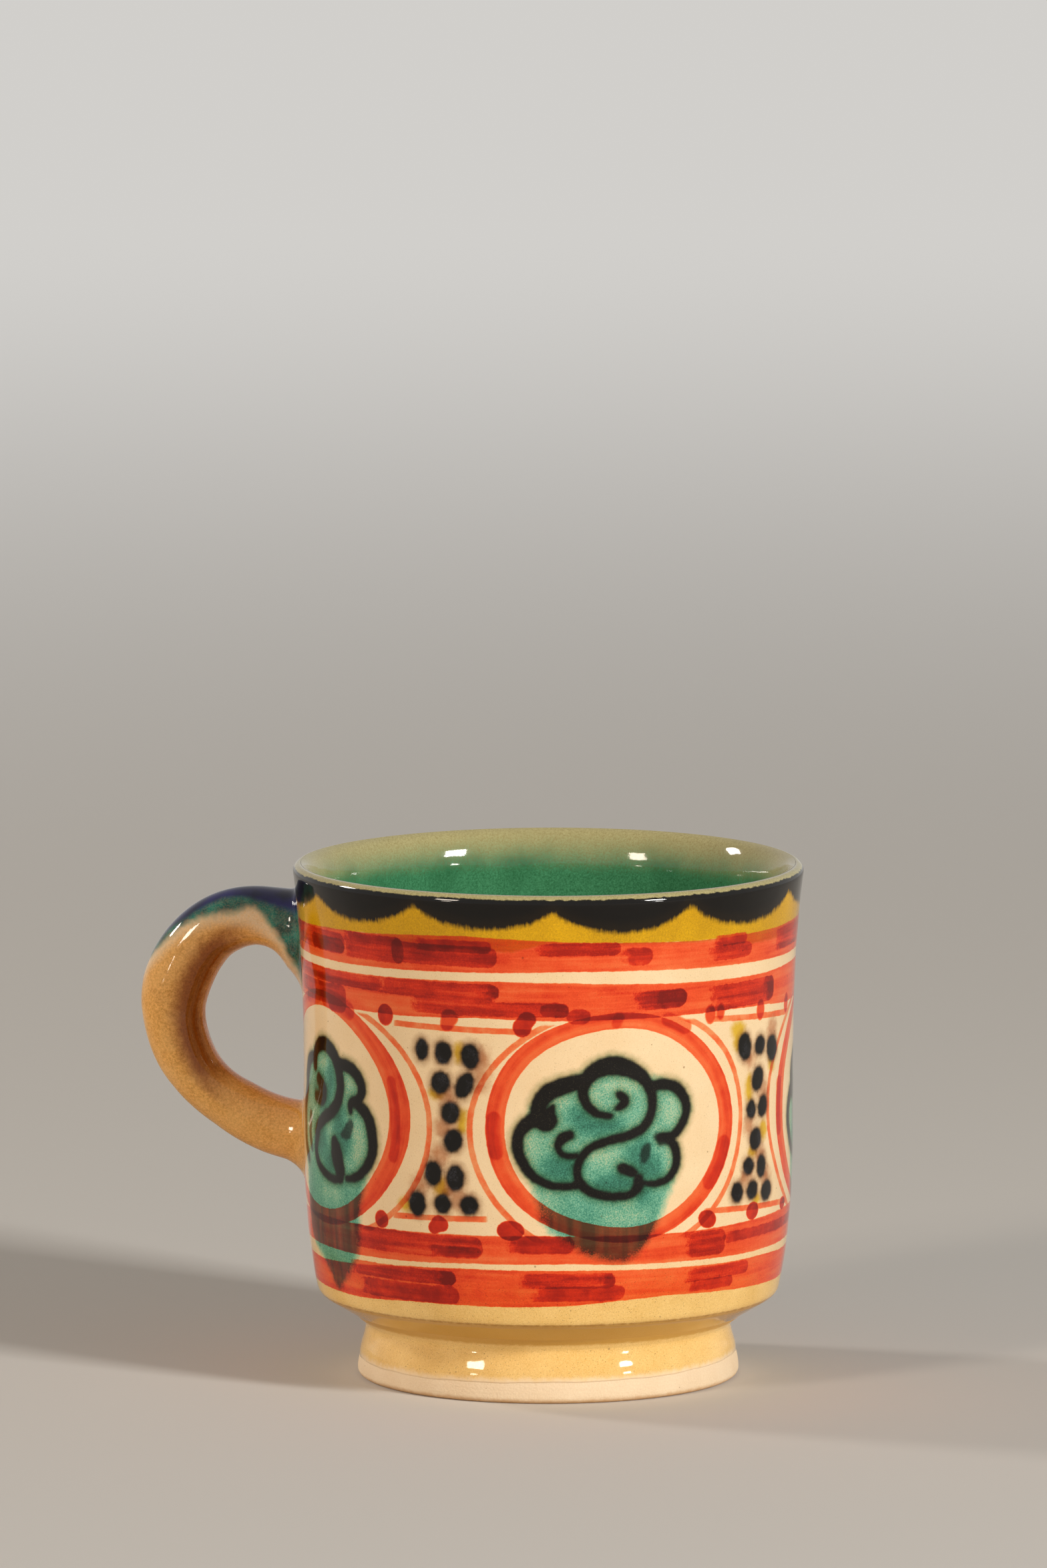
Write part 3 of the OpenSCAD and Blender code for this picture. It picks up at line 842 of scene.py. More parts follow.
LEFT_OUTLINE = (
    [(-3.0, 6.6, 0.9), (-2.7, 8.9, 1.1), (-0.9, 10.5, 1.25), (1.8, 10.9, 1.3), (4.2, 9.9, 1.3),
     (5.9, 8.2, 1.3), (6.7, 6.0, 1.2), (6.8, 3.9, 1.2), (5.8, 1.4, 1.2), (3.7, -0.4, 1.15),
     (1.2, -1.6, 1.1), (-1.3, -3.2, 1.0), (-2.3, -4.6, 0.9)],
    [(-1.3, 4.7, 1.0), (0.5, 3.2, 1.4), (0.2, 1.6, 1.3), (-2.4, 1.6, 0.9)],
    [(6.2, 8.3, 1.1), (9.0, 8.1, 1.1), (11.3, 7.2, 1.15), (12.9, 5.1, 1.1), (12.2, 3.0, 1.0),
     (10.0, 2.0, 0.8), (9.9, 0.6, 0.6)],
    [(10.4, 2.3, 0.8), (12.6, 1.6, 1.1), (14.5, 0.0, 1.2), (15.5, -2.8, 1.2), (15.4, -6.1, 1.1),
     (13.7, -8.7, 0.95), (11.2, -10.4, 0.8), (8.7, -10.9, 0.6)],
    [(-3.6, 8.2, 0.9), (-6.3, 7.2, 1.1), (-8.0, 4.7, 1.1), (-8.5, 1.8, 1.0), (-9.8, -0.9, 1.0),
     (-10.2, -4.0, 1.0), (-9.2, -7.4, 0.9), (-7.4, -9.6, 0.8)],
    [(-1.7, -4.5, 0.8), (-2.6, -7.0, 0.8), (-1.7, -9.4, 0.8), (0.8, -10.8, 0.8),
     (4.1, -11.5, 0.75), (7.0, -11.2, 0.8)],
    [(4.9, -5.2, 1.1), (5.7, -7.4, 1.8), (6.7, -9.9, 1.5)],
)
LEFT_FAINT = (
    [(9.9, -1.6, 0.8), (9.0, -3.0, 1.1), (7.6, -3.6, 0.6)],
    [(-5.6, -2.0, 0.8), (-6.2, -5.0, 0.8), (-5.0, -7.6, 0.6)],
)
LEFT_WASH = (
    (-4, 8.6), (1.5, 11), (6.5, 8), (11, 7.2), (12.4, 4.4), (11.4, 2.0), (14.6, -0.4), (15.4, -4.6),
    (14.0, -9.4), (12.8, -12.4), (11.4, -17), (11.0, -22.2), (8.6, -25.6), (5.0, -28.6), (2.9, -30),
    (0.2, -27.4), (-2.2, -25.2), (-7.0, -22.3), (-7.7, -16), (-8.4, -9.6), (-10.2, -4), (-8.6, 1.6),
    (-7.6, 5.4),
)
LEFT_DEEP = (
    (0.4, 2.6, 7, 6), (-0.5, -5.2, 6, 6), (7.5, -4.5, 5, 5), (6.4, -1.4, 3.6, 5),
    (3.5, -8.5, 5.5, 4), (3.6, 5.4, 3, 5),
)
LEFT_PALE = (
    (9.6, 5.2, 3.4, 2.4), (11.6, -4.4, 3.4, 6.5), (2.2, -3.8, 2.6, 3), (-6.6, -5.0, 3, 5),
    (1.4, 7.8, 4.4, 2), (3, -14.2, 8, 3),
)

blossom_layers = [layer(name) for name in ("outline", "faint", "wash", "deep", "pale")]
outline, faint, wash, deep, pale = blossom_layers
front_blossom = (FRONT_OUTLINE, FRONT_FAINT, FRONT_WASH, FRONT_DEEP, FRONT_PALE)
left_blossom = (LEFT_OUTLINE, LEFT_FAINT, LEFT_WASH, LEFT_DEEP, LEFT_PALE)
BLOSSOM_H, RIGHT_SHIFT = 47.7, 0.8
BLOSSOMS = (
    (FRONT, front_blossom), (LEFT, left_blossom),
    (RIGHT + RIGHT_SHIFT, front_blossom), (BACK, left_blossom),
)
for middle, (lines, faint_lines, fill, deep_marks, pale_marks) in BLOSSOMS:
    centre = (middle, BLOSSOM_H)
    for paint, strokes in ((outline, lines), (faint, faint_lines)):
        for points in strokes:
            stroke(paint, centre, points)
    patch(wash, centre, fill)
    for paint, marks in ((deep, deep_marks), (pale, pale_marks)):
        for u, v, width, height in marks:
            blob(paint, middle + u, BLOSSOM_H + v, width, height)

# %% Storing the layers on the skin's points
wall_paint["lip"] = wall_z
wall_paint["above_stop"] = wall_z - GLAZE_STOP


def store(obj, layers):
    for name, values in layers.items():
        attribute = obj.data.attributes.new(name, "FLOAT", "POINT")
        attribute.data.foreach_set("value", np.asarray(values, np.float32))
    print(f"{obj.name}: {len(layers)} layers of paint")


store(painted, wall_paint)
uneven_stop(painted)

# %% Setting the skins in their places
for skin_piece, node, slot in (
    (painted, "outer_glaze", "painted_glaze"),
    (liner, "liner_glaze", "green_glaze"),
    (foot, "foot_ring", "foot_clay"),
):
    thrown(skin_piece)
    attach(skin_piece, ROOT)
    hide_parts(node)

# %% [markdown]
# The pulled handle
#
# A handle like this is pulled: wet clay is drawn out to a round coil, bent into a loop and
# set against the wall, where a thumb spreads its ends. To make it, a straight tube is
# extruded ring by ring, and its points are then moved onto the loop: two cubic curves that
# meet at the point farthest out. The ring's size changes along the way, and close to the
# wall it opens in a fillet, as slip and glaze fill the corner. A second tube inside the
# first is the clay coil that the glaze covers.

# %% The loop's middle line
COIL_R = 5.4
ROOT_DROP, ROOT_SPAN, REACH_DROP = 11.7, 34.5, 13.8
UPPER_Z = MUG_H - ROOT_DROP
LOWER_Z = UPPER_Z - ROOT_SPAN
REACH_Z = UPPER_Z - REACH_DROP
LINE_REACH = REACH - GLAZE_T - COIL_R
LINE_PARTS = 400
# How far the middle points of the two curves lie along, as shares of reach and drop
ROOT_PULL, CROWN_RISE, CROWN_PULL = 0.77, 0.52, 0.37
BELLY_PULL, TAIL_PULL, TAIL_RISE = 0.75, 0.35, 0.03
# Changes of the coil's thickness, as shares of its radius or of a curve's run
ROOT_FLARE, ROOT_RUN, CROWN_PINCH = 0.2, 0.14, 0.12
TAIL_FLARE, TAIL_RUN, BELLY_PINCH, TAIL_SPREAD = 0.05, 0.15, 0.1, 0.14


def cubic(points, t):
    a, b, c, d = (np.array(p) for p in points)
    t = t[:, None]
    return (1 - t) ** 3 * a + 3 * (1 - t) ** 2 * t * b + 3 * (1 - t) * t**2 * c + t**3 * d


upper_root = (wall_r(UPPER_Z), UPPER_Z)
lower_root = (wall_r(LOWER_Z), LOWER_Z)
upper_line = (
    upper_root,
    (mix(upper_root[0], LINE_REACH, ROOT_PULL), UPPER_Z + CROWN_RISE * REACH_DROP),
    (LINE_REACH, REACH_Z + CROWN_PULL * REACH_DROP),
    (LINE_REACH, REACH_Z),
)
lower_line = (
    (LINE_REACH, REACH_Z),
    (LINE_REACH, mix(REACH_Z, LOWER_Z, BELLY_PULL)),
    (mix(lower_root[0], LINE_REACH, TAIL_PULL), mix(LOWER_Z, REACH_Z, TAIL_RISE)),
    lower_root,
)
t = np.linspace(0, 1, LINE_PARTS)
flare = ROOT_FLARE * np.maximum(0, 1 - t / ROOT_RUN) ** 2
upper_half = COIL_R * (1 + flare - CROWN_PINCH * np.sin(np.pi * np.sqrt(t)) ** 2)
tail = np.maximum(0, 1 - (1 - t) / TAIL_RUN) ** 2
lower_half = COIL_R * (1 + TAIL_FLARE * tail - BELLY_PINCH * np.sin(np.pi * t) ** 2)
loop = np.concatenate([cubic(upper_line, t), cubic(lower_line, t)[1:]])
half_in = np.concatenate([upper_half, lower_half[1:]]) + GLAZE_T
half_across = half_in * np.concatenate([np.ones(LINE_PARTS), 1 + TAIL_SPREAD * tail[1:]])

# The ends run on straight into the wall
OVERRUN = 8
first_way = (loop[1] - loop[0]) / np.hypot(*(loop[1] - loop[0]))
last_way = (loop[-1] - loop[-2]) / np.hypot(*(loop[-1] - loop[-2]))
loop = np.concatenate([[loop[0] - OVERRUN * first_way], loop, [loop[-1] + OVERRUN * last_way]])
half_in = np.pad(half_in, 1, "edge")
half_across = np.pad(half_across, 1, "edge")
steps = np.hypot(*np.diff(loop, axis=0).T)
along_loop = np.concatenate([[0], np.cumsum(steps)]) - OVERRUN
LOOP_LENGTH = along_loop[-1] - OVERRUN
ways = np.gradient(loop, along_loop, axis=0)
ways /= np.hypot(*ways.T)[:, None]
print(f"the handle's middle line is {LOOP_LENGTH:.1f} mm long")

# %% A straight tube, ring by ring
TUBE_SIDES = 64
TUBE_RINGS = 220


def straight_tube(name):
    """A tube of unit radius along +Z, with a ring at each whole millimetre and closed ends."""
    bm = bmesh.new()
    bmesh.ops.create_circle(bm, segments=TUBE_SIDES, radius=MM)
    edges = bm.edges[:]
    for _ in range(TUBE_RINGS - 1):
        grown_part = bmesh.ops.extrude_edge_only(bm, edges=edges)["geom"]
        new = [g for g in grown_part if isinstance(g, bmesh.types.BMVert)]
        edges = [g for g in grown_part if isinstance(g, bmesh.types.BMEdge)]
        edges = [e for e in edges if all(v in new for v in e.verts)]
        bmesh.ops.translate(bm, verts=new, vec=(0, 0, MM))
    bmesh.ops.holes_fill(bm, edges=bm.edges[:], sides=0)
    return as_object(name, bm)


handle = straight_tube("handle_skin")
tube_at = places(handle)
side_angle = np.arctan2(tube_at[:, 1], tube_at[:, 0])
ring_share = tube_at[:, 2] / (TUBE_RINGS - 1)


# %% Bending the tube into the loop
def on_loop(u, angle, extra=0.0):
    """A point of the coil's skin at length u along the loop. Angle 0 is its outer side."""
    known = (*loop.T, *ways.T, half_in, half_across)
    d, z, way_d, way_z, high, wide = (np.interp(u, along_loop, values) for values in known)
    out, across = (high + extra) * np.cos(angle), (wide + extra) * np.sin(angle)
    return np.stack([way_z * out - d, across, z + way_d * out], -1)


def off_wall(at):
    """How far points lie outside the glazed wall."""
    return np.hypot(at[..., 0], at[..., 1]) - wall_r(at[..., 2]) - GLAZE_T


# Each line of the tube ends where it is SEAT deep inside the wall
SEAT, TRIES = 1.0, 321
angles = np.linspace(-np.pi, np.pi, TUBE_SIDES + 1)
tries = np.linspace(-OVERRUN, OVERRUN, TRIES)
upper_depth = off_wall(on_loop(tries[:, None], angles[None, :]))
lower_depth = off_wall(on_loop(LOOP_LENGTH - tries[:, None], angles[None, :]))
upper_end = np.array([np.interp(-SEAT, d, tries) for d in upper_depth.T])
lower_end = np.array([np.interp(-SEAT, d, tries) for d in lower_depth.T])
print("the upper end starts at", upper_end.min().round(2), "to", upper_end.max().round(2))

END_CROWD = 0.8
END_RUN = 14
base = LOOP_LENGTH * (ring_share - END_CROWD * np.sin(2 * np.pi * ring_share) / (2 * np.pi))
upper_share, lower_share = (
    np.maximum(0, 1 - run / END_RUN) ** FADE_POWER for run in (base, LOOP_LENGTH - base)
)
u = base + np.interp(side_angle, angles, upper_end) * upper_share
u -= np.interp(side_angle, angles, lower_end) * lower_share


# %% Fillets at the roots, and the hand's unevenness
def fillet(gap, radius):
    """How far a round fillet stands out at a distance from the wall."""
    share = np.clip(1 - gap / radius, 0, 1)
    return radius * (1 - np.sqrt(1 - share**2))


seated = off_wall(on_loop(u, side_angle))
gap = np.maximum(0, seated)
upper_side = u < LOOP_LENGTH / 2
facing_out = np.cos(side_angle)
outer_side, inner_side = np.maximum(0, facing_out), np.maximum(0, -facing_out)
# Radius of each root's fillet, and how much it grows on the coil's underside
UPPER_FILLET, LOWER_FILLET = (1.5, 4.0), (1.0, 2.9)
upper_radius = UPPER_FILLET[0] + UPPER_FILLET[1] * inner_side**FADE_POWER
lower_radius = LOWER_FILLET[0] + LOWER_FILLET[1] * outer_side**FADE_POWER
radius = np.where(upper_side, upper_radius, lower_radius)
extra = fillet(gap, radius)
UNEVEN, SHORT_WAVE, LONG_WAVE, WAVE_LEAN = 0.09, 3.1, 9, 1.3
short_wave = np.sin(u / SHORT_WAVE + WAVE_LEAN * np.sin(side_angle))
twist = short_wave * np.cos(2 * side_angle + u / LONG_WAVE)
extra -= UNEVEN * (1 + twist)
# The hand left the coil thicker inside the upper bend, and thinner outside the lower one
OUTER_TRIM = ((28, 0), (36, -0.7), (44, -1.2), (52, -1.0), (60, -0.2), (64, 0))
INNER_TRIM = ((8, 0), (13, 0.45), (20, 0.6), (26, 0.4), (34, 0), (54, 0), (60, -0.45), (64, -0.7))
outer_trim, inner_trim = (np.interp(u, *zip(*trim)) for trim in (OUTER_TRIM, INNER_TRIM))
extra += outer_trim * outer_side + inner_trim * inner_side
handle_at = on_loop(u, side_angle, extra)
# A fillet slides along the wall: where it stands out, its gap from the wall stays as it was
in_fillet = np.clip(2 * (1 - gap / radius), 0, 1)
sunk = in_fillet * (off_wall(handle_at) - seated) / np.hypot(*handle_at[:, :2].T)
handle_at[:, :2] *= 1 - sunk[:, None]
put_places(handle, handle_at)
CORE_MOST = 0.3
core_at = on_loop(u, side_angle, np.minimum(extra, CORE_MOST) - GLAZE_T)

# %% Paint on the handle: (length along the loop, how far round from the crest in degrees)
BLUE_REACH = (
    (-9, 68), (1.8, 63), (4.4, 60), (7.3, 52), (9.9, 41), (12.1, 36), (15.1, 41), (17.5, 40),
    (20, 26), (24, -5),
)
TEAL_REACH = (
    (-9, 150), (-0.3, 134), (2.3, 117), (5, 96), (6.7, 77), (8, 65), (9.1, 66), (11.1, 73),
    (13.7, 67), (15.8, 60), (18.7, 48), (21.8, 37), (25, 16), (30, -20),
)
PALE_REACH = (
    (-9, 165), (-0.6, 152), (3.3, 134), (6.4, 118), (9, 104), (12, 94), (16, 78), (20, 62),
    (24, 48), (29, 15), (34, -20),
)
from_crest = np.degrees(abs(side_angle))
far_side = side_angle > 0
# Painted shade: the inner side of the loop is darkened brown, between two lengths of the loop
INNER_SHADE_MIDDLE, INNER_SHADE_HALF = 128, 27
INNER_SHADE_START, INNER_SHADE_END, INNER_SHADE_SLOPE = 12, 48, 0.3
# On the far side the paint ends sooner, and reaches a little less far round
FAR_SHIFT, FAR_SHARE = 1.3, 0.93
painted_inner_shade = np.radians(INNER_SHADE_HALF - abs(from_crest - INNER_SHADE_MIDDLE)) * COIL_R
inner_shade_ends = np.minimum(u - INNER_SHADE_START, INNER_SHADE_END - u) * INNER_SHADE_SLOPE
handle_paint = {"painted_inner_shade": np.minimum(painted_inner_shade, inner_shade_ends)}
for name, reach in (("blue", BLUE_REACH), ("teal", TEAL_REACH), ("pale_edge", PALE_REACH)):
    lengths, edge = zip(*reach)
    edge = np.interp(u + FAR_SHIFT * far_side, lengths, edge) * np.where(far_side, FAR_SHARE, 1)
    handle_paint[name] = np.radians(edge - from_crest) * COIL_R
store(handle, handle_paint)

# %% The clay coil under the glaze, and both coils in their places
handle_core = straight_tube("handle_coil")
put_places(handle_core, core_at)
for coil, node, slot in (
    (handle, "handle_glaze", "honey_glaze"),
    (handle_core, "handle", "handle_clay"),
):
    # Moved onto the loop, the faces look inwards, so they are turned round
    bm = bmesh.new()
    bm.from_mesh(coil.data)
    bmesh.ops.recalc_face_normals(bm, faces=bm.faces[:])
    bm.to_mesh(coil.data)
    bm.free()
    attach(coil, ROOT)
    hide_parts(node)

# %% [markdown]
# Light
#
# Five soft boxes light the mug: the key from the front right, a weaker fill from the front
# left, a small low one under each of them for the second highlights on the foot, and one
# from behind on the left, which draws the handle's edge. They are small enough to leave
# crisp highlights in the glaze.

# %% Floor and backdrop
# In metres: the floor runs from front to back, and sweeps up into a wall
HALF_WIDTH, FLOOR_FRONT, FLOOR_BACK, SWEEP, WALL_H = 4.0, -3.5, 2.2, 0.8, 3.5
SWEEP_POINTS = 16


def backdrop():
    bm = bmesh.new()
    line = [(FLOOR_FRONT, 0)]
    for a in np.linspace(0, math.pi / 2, SWEEP_POINTS):
        line.append((FLOOR_BACK + SWEEP * math.sin(a), SWEEP * (1 - math.cos(a))))
    line.append((FLOOR_BACK + SWEEP, WALL_H))
    verts = [bm.verts.new((-HALF_WIDTH, y, z)) for y, z in line]
    edges = [bm.edges.new(pair) for pair in zip(verts, verts[1:])]
    swept = bmesh.ops.extrude_edge_only(bm, edges=edges)["geom"]
    new = [g for g in swept if isinstance(g, bmesh.types.BMVert)]
    bmesh.ops.translate(bm, verts=new, vec=(2 * HALF_WIDTH, 0, 0))
    to_camera = Matrix.Rotation(turn, 3, "Z")
    bmesh.ops.rotate(bm, verts=bm.verts[:], cent=(0, 0, 0), matrix=to_camera)
    made = as_object("backdrop", bm)
    made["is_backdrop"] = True
    return made


stage = backdrop()


# %% Lamps and world
LAMP_DISTANCE = 2.2
KEY_TINT, FILL_TINT, RIM_TINT = (1, 0.97, 0.92), (1, 0.86, 0.72), (1, 0.92, 0.84)


def lamp(name, azimuth, elevation, size, power, tint):
    """A softbox aimed at the mug, azimuth degrees to the right of the camera."""
    data = bpy.data.lights.new(name, "AREA")
    data.size = size
    data.energy = power
    data.color = tint
    made = bpy.data.objects.new(name, data)
    a, e = math.radians(azimuth + CAMERA_TURN), math.radians(elevation)
    back = Vector((math.sin(a) * math.cos(e), -math.cos(a) * math.cos(e), math.sin(e)))
    made.location = Vector((0, 0, MUG_H / 2 * MM)) + back * LAMP_DISTANCE
    made.rotation_mode = "QUATERNION"
    made.rotation_quaternion = back.to_track_quat("Z", "Y")
    bpy.context.scene.collection.objects.link(made)
    return made


lamp("key", 50, 23, 0.32, 38.5, KEY_TINT)
lamp("fill", -47, 21, 0.38, 16, FILL_TINT)
lamp("low key", 49, 5, 0.16, 3, KEY_TINT)
lamp("low fill", -46, 5, 0.13, 1.4, FILL_TINT)
lamp("rim", -112, 28, 0.26, 13, RIM_TINT)

scene = bpy.context.scene
scene.view_settings.view_transform = "Standard"
world = bpy.data.worlds.new("studio")
scene.world = world
world.use_nodes = True
dim = world.node_tree.nodes["Background"]
DIM_TINT, DIM_STRENGTH = (1, 0.96, 0.9, 1), 0.12
dim.inputs["Color"].default_value = DIM_TINT
dim.inputs["Strength"].default_value = DIM_STRENGTH

# %% [markdown]
# Finishes
#
# Each finish is a Principled material. Effects that several finishes share are node groups:
# the soft edge of a brush stroke, specks of iron in the clay, and the faint ripple of glaze.
# Patterns follow Object coordinates, so they stay on the piece from every side. The helpers
# add their nodes to the tree that is being built, which is always called tree.

# %% Shader helpers
# Each noise: how often it repeats in a millimetre (three values where it is stretched), its
# detail, and its roughness
NOISES = {
    "edge": (0.9, 3), "grain": (4.5, 2, 0.7), "broad_grain": (0.16, 2),
    "wave": ((0.12, 0.12, 0.192), 1), "peel": (0.9, 2), "streaks": ((0.05, 0.05, 0.8), 4, 0.6),
    "broad_streaks": ((0.03, 0.03, 0.45), 1), "ring_streaks": (1, 3, 0.6),
    "blotches": (0.35, 3, 0.6), "granules": (3.6, 2, 0.65), "pinpricks": (5, 1),
    "wash_grain": (4.2, 2, 0.7), "runs": ((0.5, 0.5, 0.05), 2), "bristles": ((3, 3, 0.25), 2, 0.6),
    "fine": (3.2, 3, 0.7), "liner_cloud": (0.12, 3, 0.6), "ridges": ((0.08, 0.08, 1.5), 3),
    "rough": (2.5, 3), "coil_cloud": (0.25, 2), "coarse": (2.6, 3, 0.7), "mottle": (0.45, 3, 0.6),
}
NOISE_RANGE = 0.3, 0.7


def put_in(socket, value):
    """Links a socket to another one, or gives it a value."""
    if isinstance(value, bpy.types.NodeSocket):
        tree.links.new(value, socket)
    else:
        socket.default_value = value


def add(kind, inputs=None, **settings):
    """A shader node with its settings, and with its inputs set or linked."""
    made = tree.nodes.new("ShaderNode" + kind)
    for name, value in settings.items():
        setattr(made, name, value)
    for name, value in (inputs or {}).items():
        put_in(made.inputs[name], value)
    return made


def maths(operation, a, b=0.0):
    return add("Math", {0: a, 1: b}, operation=operation).outputs[0]


times, plus, minus = (partial(maths, name) for name in ("MULTIPLY", "ADD", "SUBTRACT"))


def spread(value, low, high, to_low=0.0, to_high=1.0, kind="LINEAR"):
    """Maps low..high to another range, and holds it at the ends."""
    given_range = {"From Min": low, "From Max": high, "To Min": to_low, "To Max": to_high}
    made = add("MapRange", {"Value": value, **given_range}, interpolation_type=kind)
    return made.outputs["Result"]


def blend(share, a, b, kind="MIX"):
    """Mixes two colours."""
    made = add("Mix", {0: share}, data_type="RGBA", blend_type=kind)
    for socket, value in ((made.inputs[6], a), (made.inputs[7], b)):
        put_in(socket, (*value, 1) if isinstance(value, tuple) else value)
    return made.outputs[2]


def stained(below, share, tint):
    """Lays a tint over a colour like a stain, so that both can be seen."""
    return blend(share, below, tint, "MULTIPLY")


def specked(below, grain, share, tint):
    return blend(times(grain["Speck"], share), below, tint)


def swing(value, size=1.0):
    """Turns a noise about its middle into a change up and down."""
    return times(minus(value, 0.5), size)


def object_place(scale=(1, 1, 1)):
    """Object coordinates in millimetres, stretched if need be."""
    place = add("TexCoord").outputs["Object"]
    inputs = {"Vector": place, "Scale": tuple(s / MM for s in scale)}
    return add("Mapping", inputs).outputs["Vector"]


def noise(name, place=None):
    """A noise from the table, in Object coordinates unless another place is given."""
    scale, *others = NOISES[name]
    if place is None:
        place = object_place(scale if isinstance(scale, tuple) else (scale,) * 3)
    inputs = {"Vector": place, "Scale": 1.0, **dict(zip(("Detail", "Roughness"), others))}
    return add("TexNoise", inputs).outputs["Fac"]


def of_noise(value, low=0.0, high=1.0):
    """Maps a noise to low..high. Few of its values lie outside the range that is used."""
    return spread(value, *NOISE_RANGE, low, high)


def new_group(name, inputs, outputs):
    """An empty node group, with its input and output sockets ready to link."""
    new = bpy.data.node_groups.new(name, "ShaderNodeTree")
    for label, value in inputs:
        socket = new.interface.new_socket(label, in_out="INPUT", socket_type="NodeSocketFloat")
        socket.default_value = value
    for label in outputs:
        new.interface.new_socket(label, in_out="OUTPUT", socket_type="NodeSocketFloat")
    start, end = new.nodes.new("NodeGroupInput"), new.nodes.new("NodeGroupOutput")
    return new, start.outputs, end.inputs


def use(group, **inputs):
    """Places a group in the tree, with its own values."""
    made = tree.nodes.new("ShaderNodeGroup")
    made.node_tree = group
    for name, value in inputs.items():
        put_in(made.inputs[name.replace("_", " ")], value)
    return made.outputs


def material(name, roughness, ior=None):
    made = bpy.data.materials.new(name)
    made.use_nodes = True
    shader = made.node_tree.nodes["Principled BSDF"]
    shader.inputs["Roughness"].default_value = roughness
    if ior:
        shader.inputs["IOR"].default_value = ior
    return made, made.node_tree, shader.inputs


def put_on(obj, made):
    obj.data.materials.clear()
    obj.data.materials.append(made)


# %% Group: the edge of a brush stroke
edge_inputs = [("Depth", 0), ("Softness", 0.2), ("Waver", 0.1), ("Shift", 0)]
tree, given, made = new_group("brush_edge", edge_inputs, ["Mask"])
coarse = noise("edge")
waver = times(swing(coarse, 2), given["Waver"])
depth = plus(plus(given["Depth"], given["Shift"]), waver)
low = times(given["Softness"], -1)
edge_mask = spread(depth, low, given["Softness"], kind="SMOOTHSTEP")
tree.links.new(edge_mask, made["Mask"])
brush_edge = tree

# %% Group: grain and iron specks of the clay
SPECK_R = 0.13
grain_inputs = [("Grain", 1), ("Density", 0.55)]
tree, given, made = new_group("clay_grain", grain_inputs, ["Tone", "Speck"])
tone = plus(swing(noise("grain")), swing(noise("broad_grain"), 0.6))
tree.links.new(times(tone, given["Grain"]), made["Tone"])
cells = add("TexVoronoi", {"Vector": object_place(), "Scale": given["Density"]})
size = spread(cells.outputs["Color"], 0.5, 1.0, 0.0, SPECK_R)
speck = spread(minus(size, cells.outputs["Distance"]), -0.02, 0.02)
tree.links.new(speck, made["Speck"])
clay_grain = tree

# %% Group: the ripple of glaze
PEEL_SHARE = 0.06
tree, given, made = new_group("glaze_ripple", [("Wave", 1), ("Orange peel", 1)], ["Height"])
peel = times(noise("peel"), times(given["Orange peel"], PEEL_SHARE))
height = plus(times(noise("wave"), given["Wave"]), peel)
tree.links.new(height, made["Height"])
glaze_ripple = tree


def raised(sockets, height, depth):
    """Bump from a height. Depth is in millimetres."""
    bump = add("Bump", {"Height": height, "Distance": depth * MM, "Strength": 1.0})
    tree.links.new(bump.outputs["Normal"], sockets["Normal"])


def ripple(sockets, wave=1.0, peel=1.0, depth=0.12):
    raised(sockets, use(glaze_ripple, Wave=wave, Orange_peel=peel)["Height"], depth)


# %% Masks from the layers of paint
# The edge of each layer in millimetres: how soft it is, how it wavers, and how far it is moved out
EDGES = {
    "above_stop": (0.8, 0.6, -0.9), "yellow": (0.35, 0.3), "band": (0.12, 0.14),
    "coat": (0.12, 0.25), "coat_again": (0.15, 0.25), "ring": (0.1, 0.12),
    "ring_coat": (0.25, 0.12), "drops": (0.15, 0.12), "pale_drops": (0.25, 0.12),
    "line_ends": (0.4, 0.12), "touches": (0.8, 0.6), "haze": (1.2, 0.9, 0.4),
    "deep": (1.8, 0.8), "pale": (1.5, 0.8), "wash": (1.3, 0.6, 0.2), "faint": (0.4, 0.3, 0.1),
    "dots": (0.4, 0.3, 0.1), "outline": (0.36, 0.18, 0.04), "painted_inner_shade": (1.6, 0.8),
    "pale_edge": (1.7, 0.5), "teal": (1.1, 0.7, 0.1), "blue": (0.9, 0.5, 0.1),
}
# Edges that belong to no layer, or to a layer's second mask
HALO_EDGE, TOP_EDGE, FULL_TOP_EDGE = (0.9, 0.4, 0.6), (0.6, 0.5), (1.0, 0.6, -1.6)
LINE_EDGE, UNDERSIDE_SHADE_EDGE, CORNER_SHADE_LINE_EDGE = (0.12, 0.12), (0.35, 0.3), (0.2, 0.2)
RUN_EDGE, STOP_EDGE, TREAD_EDGE = (0.3, 0.2), (0.1, 0.3), (0.5, 0.4)


def layer_depth(name):
    return add("Attribute", attribute_name=name).outputs["Fac"]


def edge(depth, softness, waver, shift=0.0):
    """A mask for what is deeper than zero, with a soft and wavering edge."""
    return use(brush_edge, Depth=depth, Softness=softness, Waver=waver, Shift=shift)["Mask"]


def mask(name, kind=None):
    """The mask of a layer of paint, with the layer's own kind of edge or a given one."""
    return edge(layer_depth(name), *(kind or EDGES[name]))


def line_mask(name, width):
    """A mask for a stroke that is stored as the distance from its middle line."""
    return edge(minus(width / 2, maths("ABSOLUTE", layer_depth(name))), *LINE_EDGE)


# %% [markdown]
# The painted glaze
#
# Under the clear glaze each pigment acts like a stain: the colour below is multiplied by the
# pigment's tint. For red one ramp says what more and more pigment does, from pale orange over
# brick to dark oxblood, and every red stroke only adds to the thickness. Streaks come from
# noise that is stretched along the brush's way.

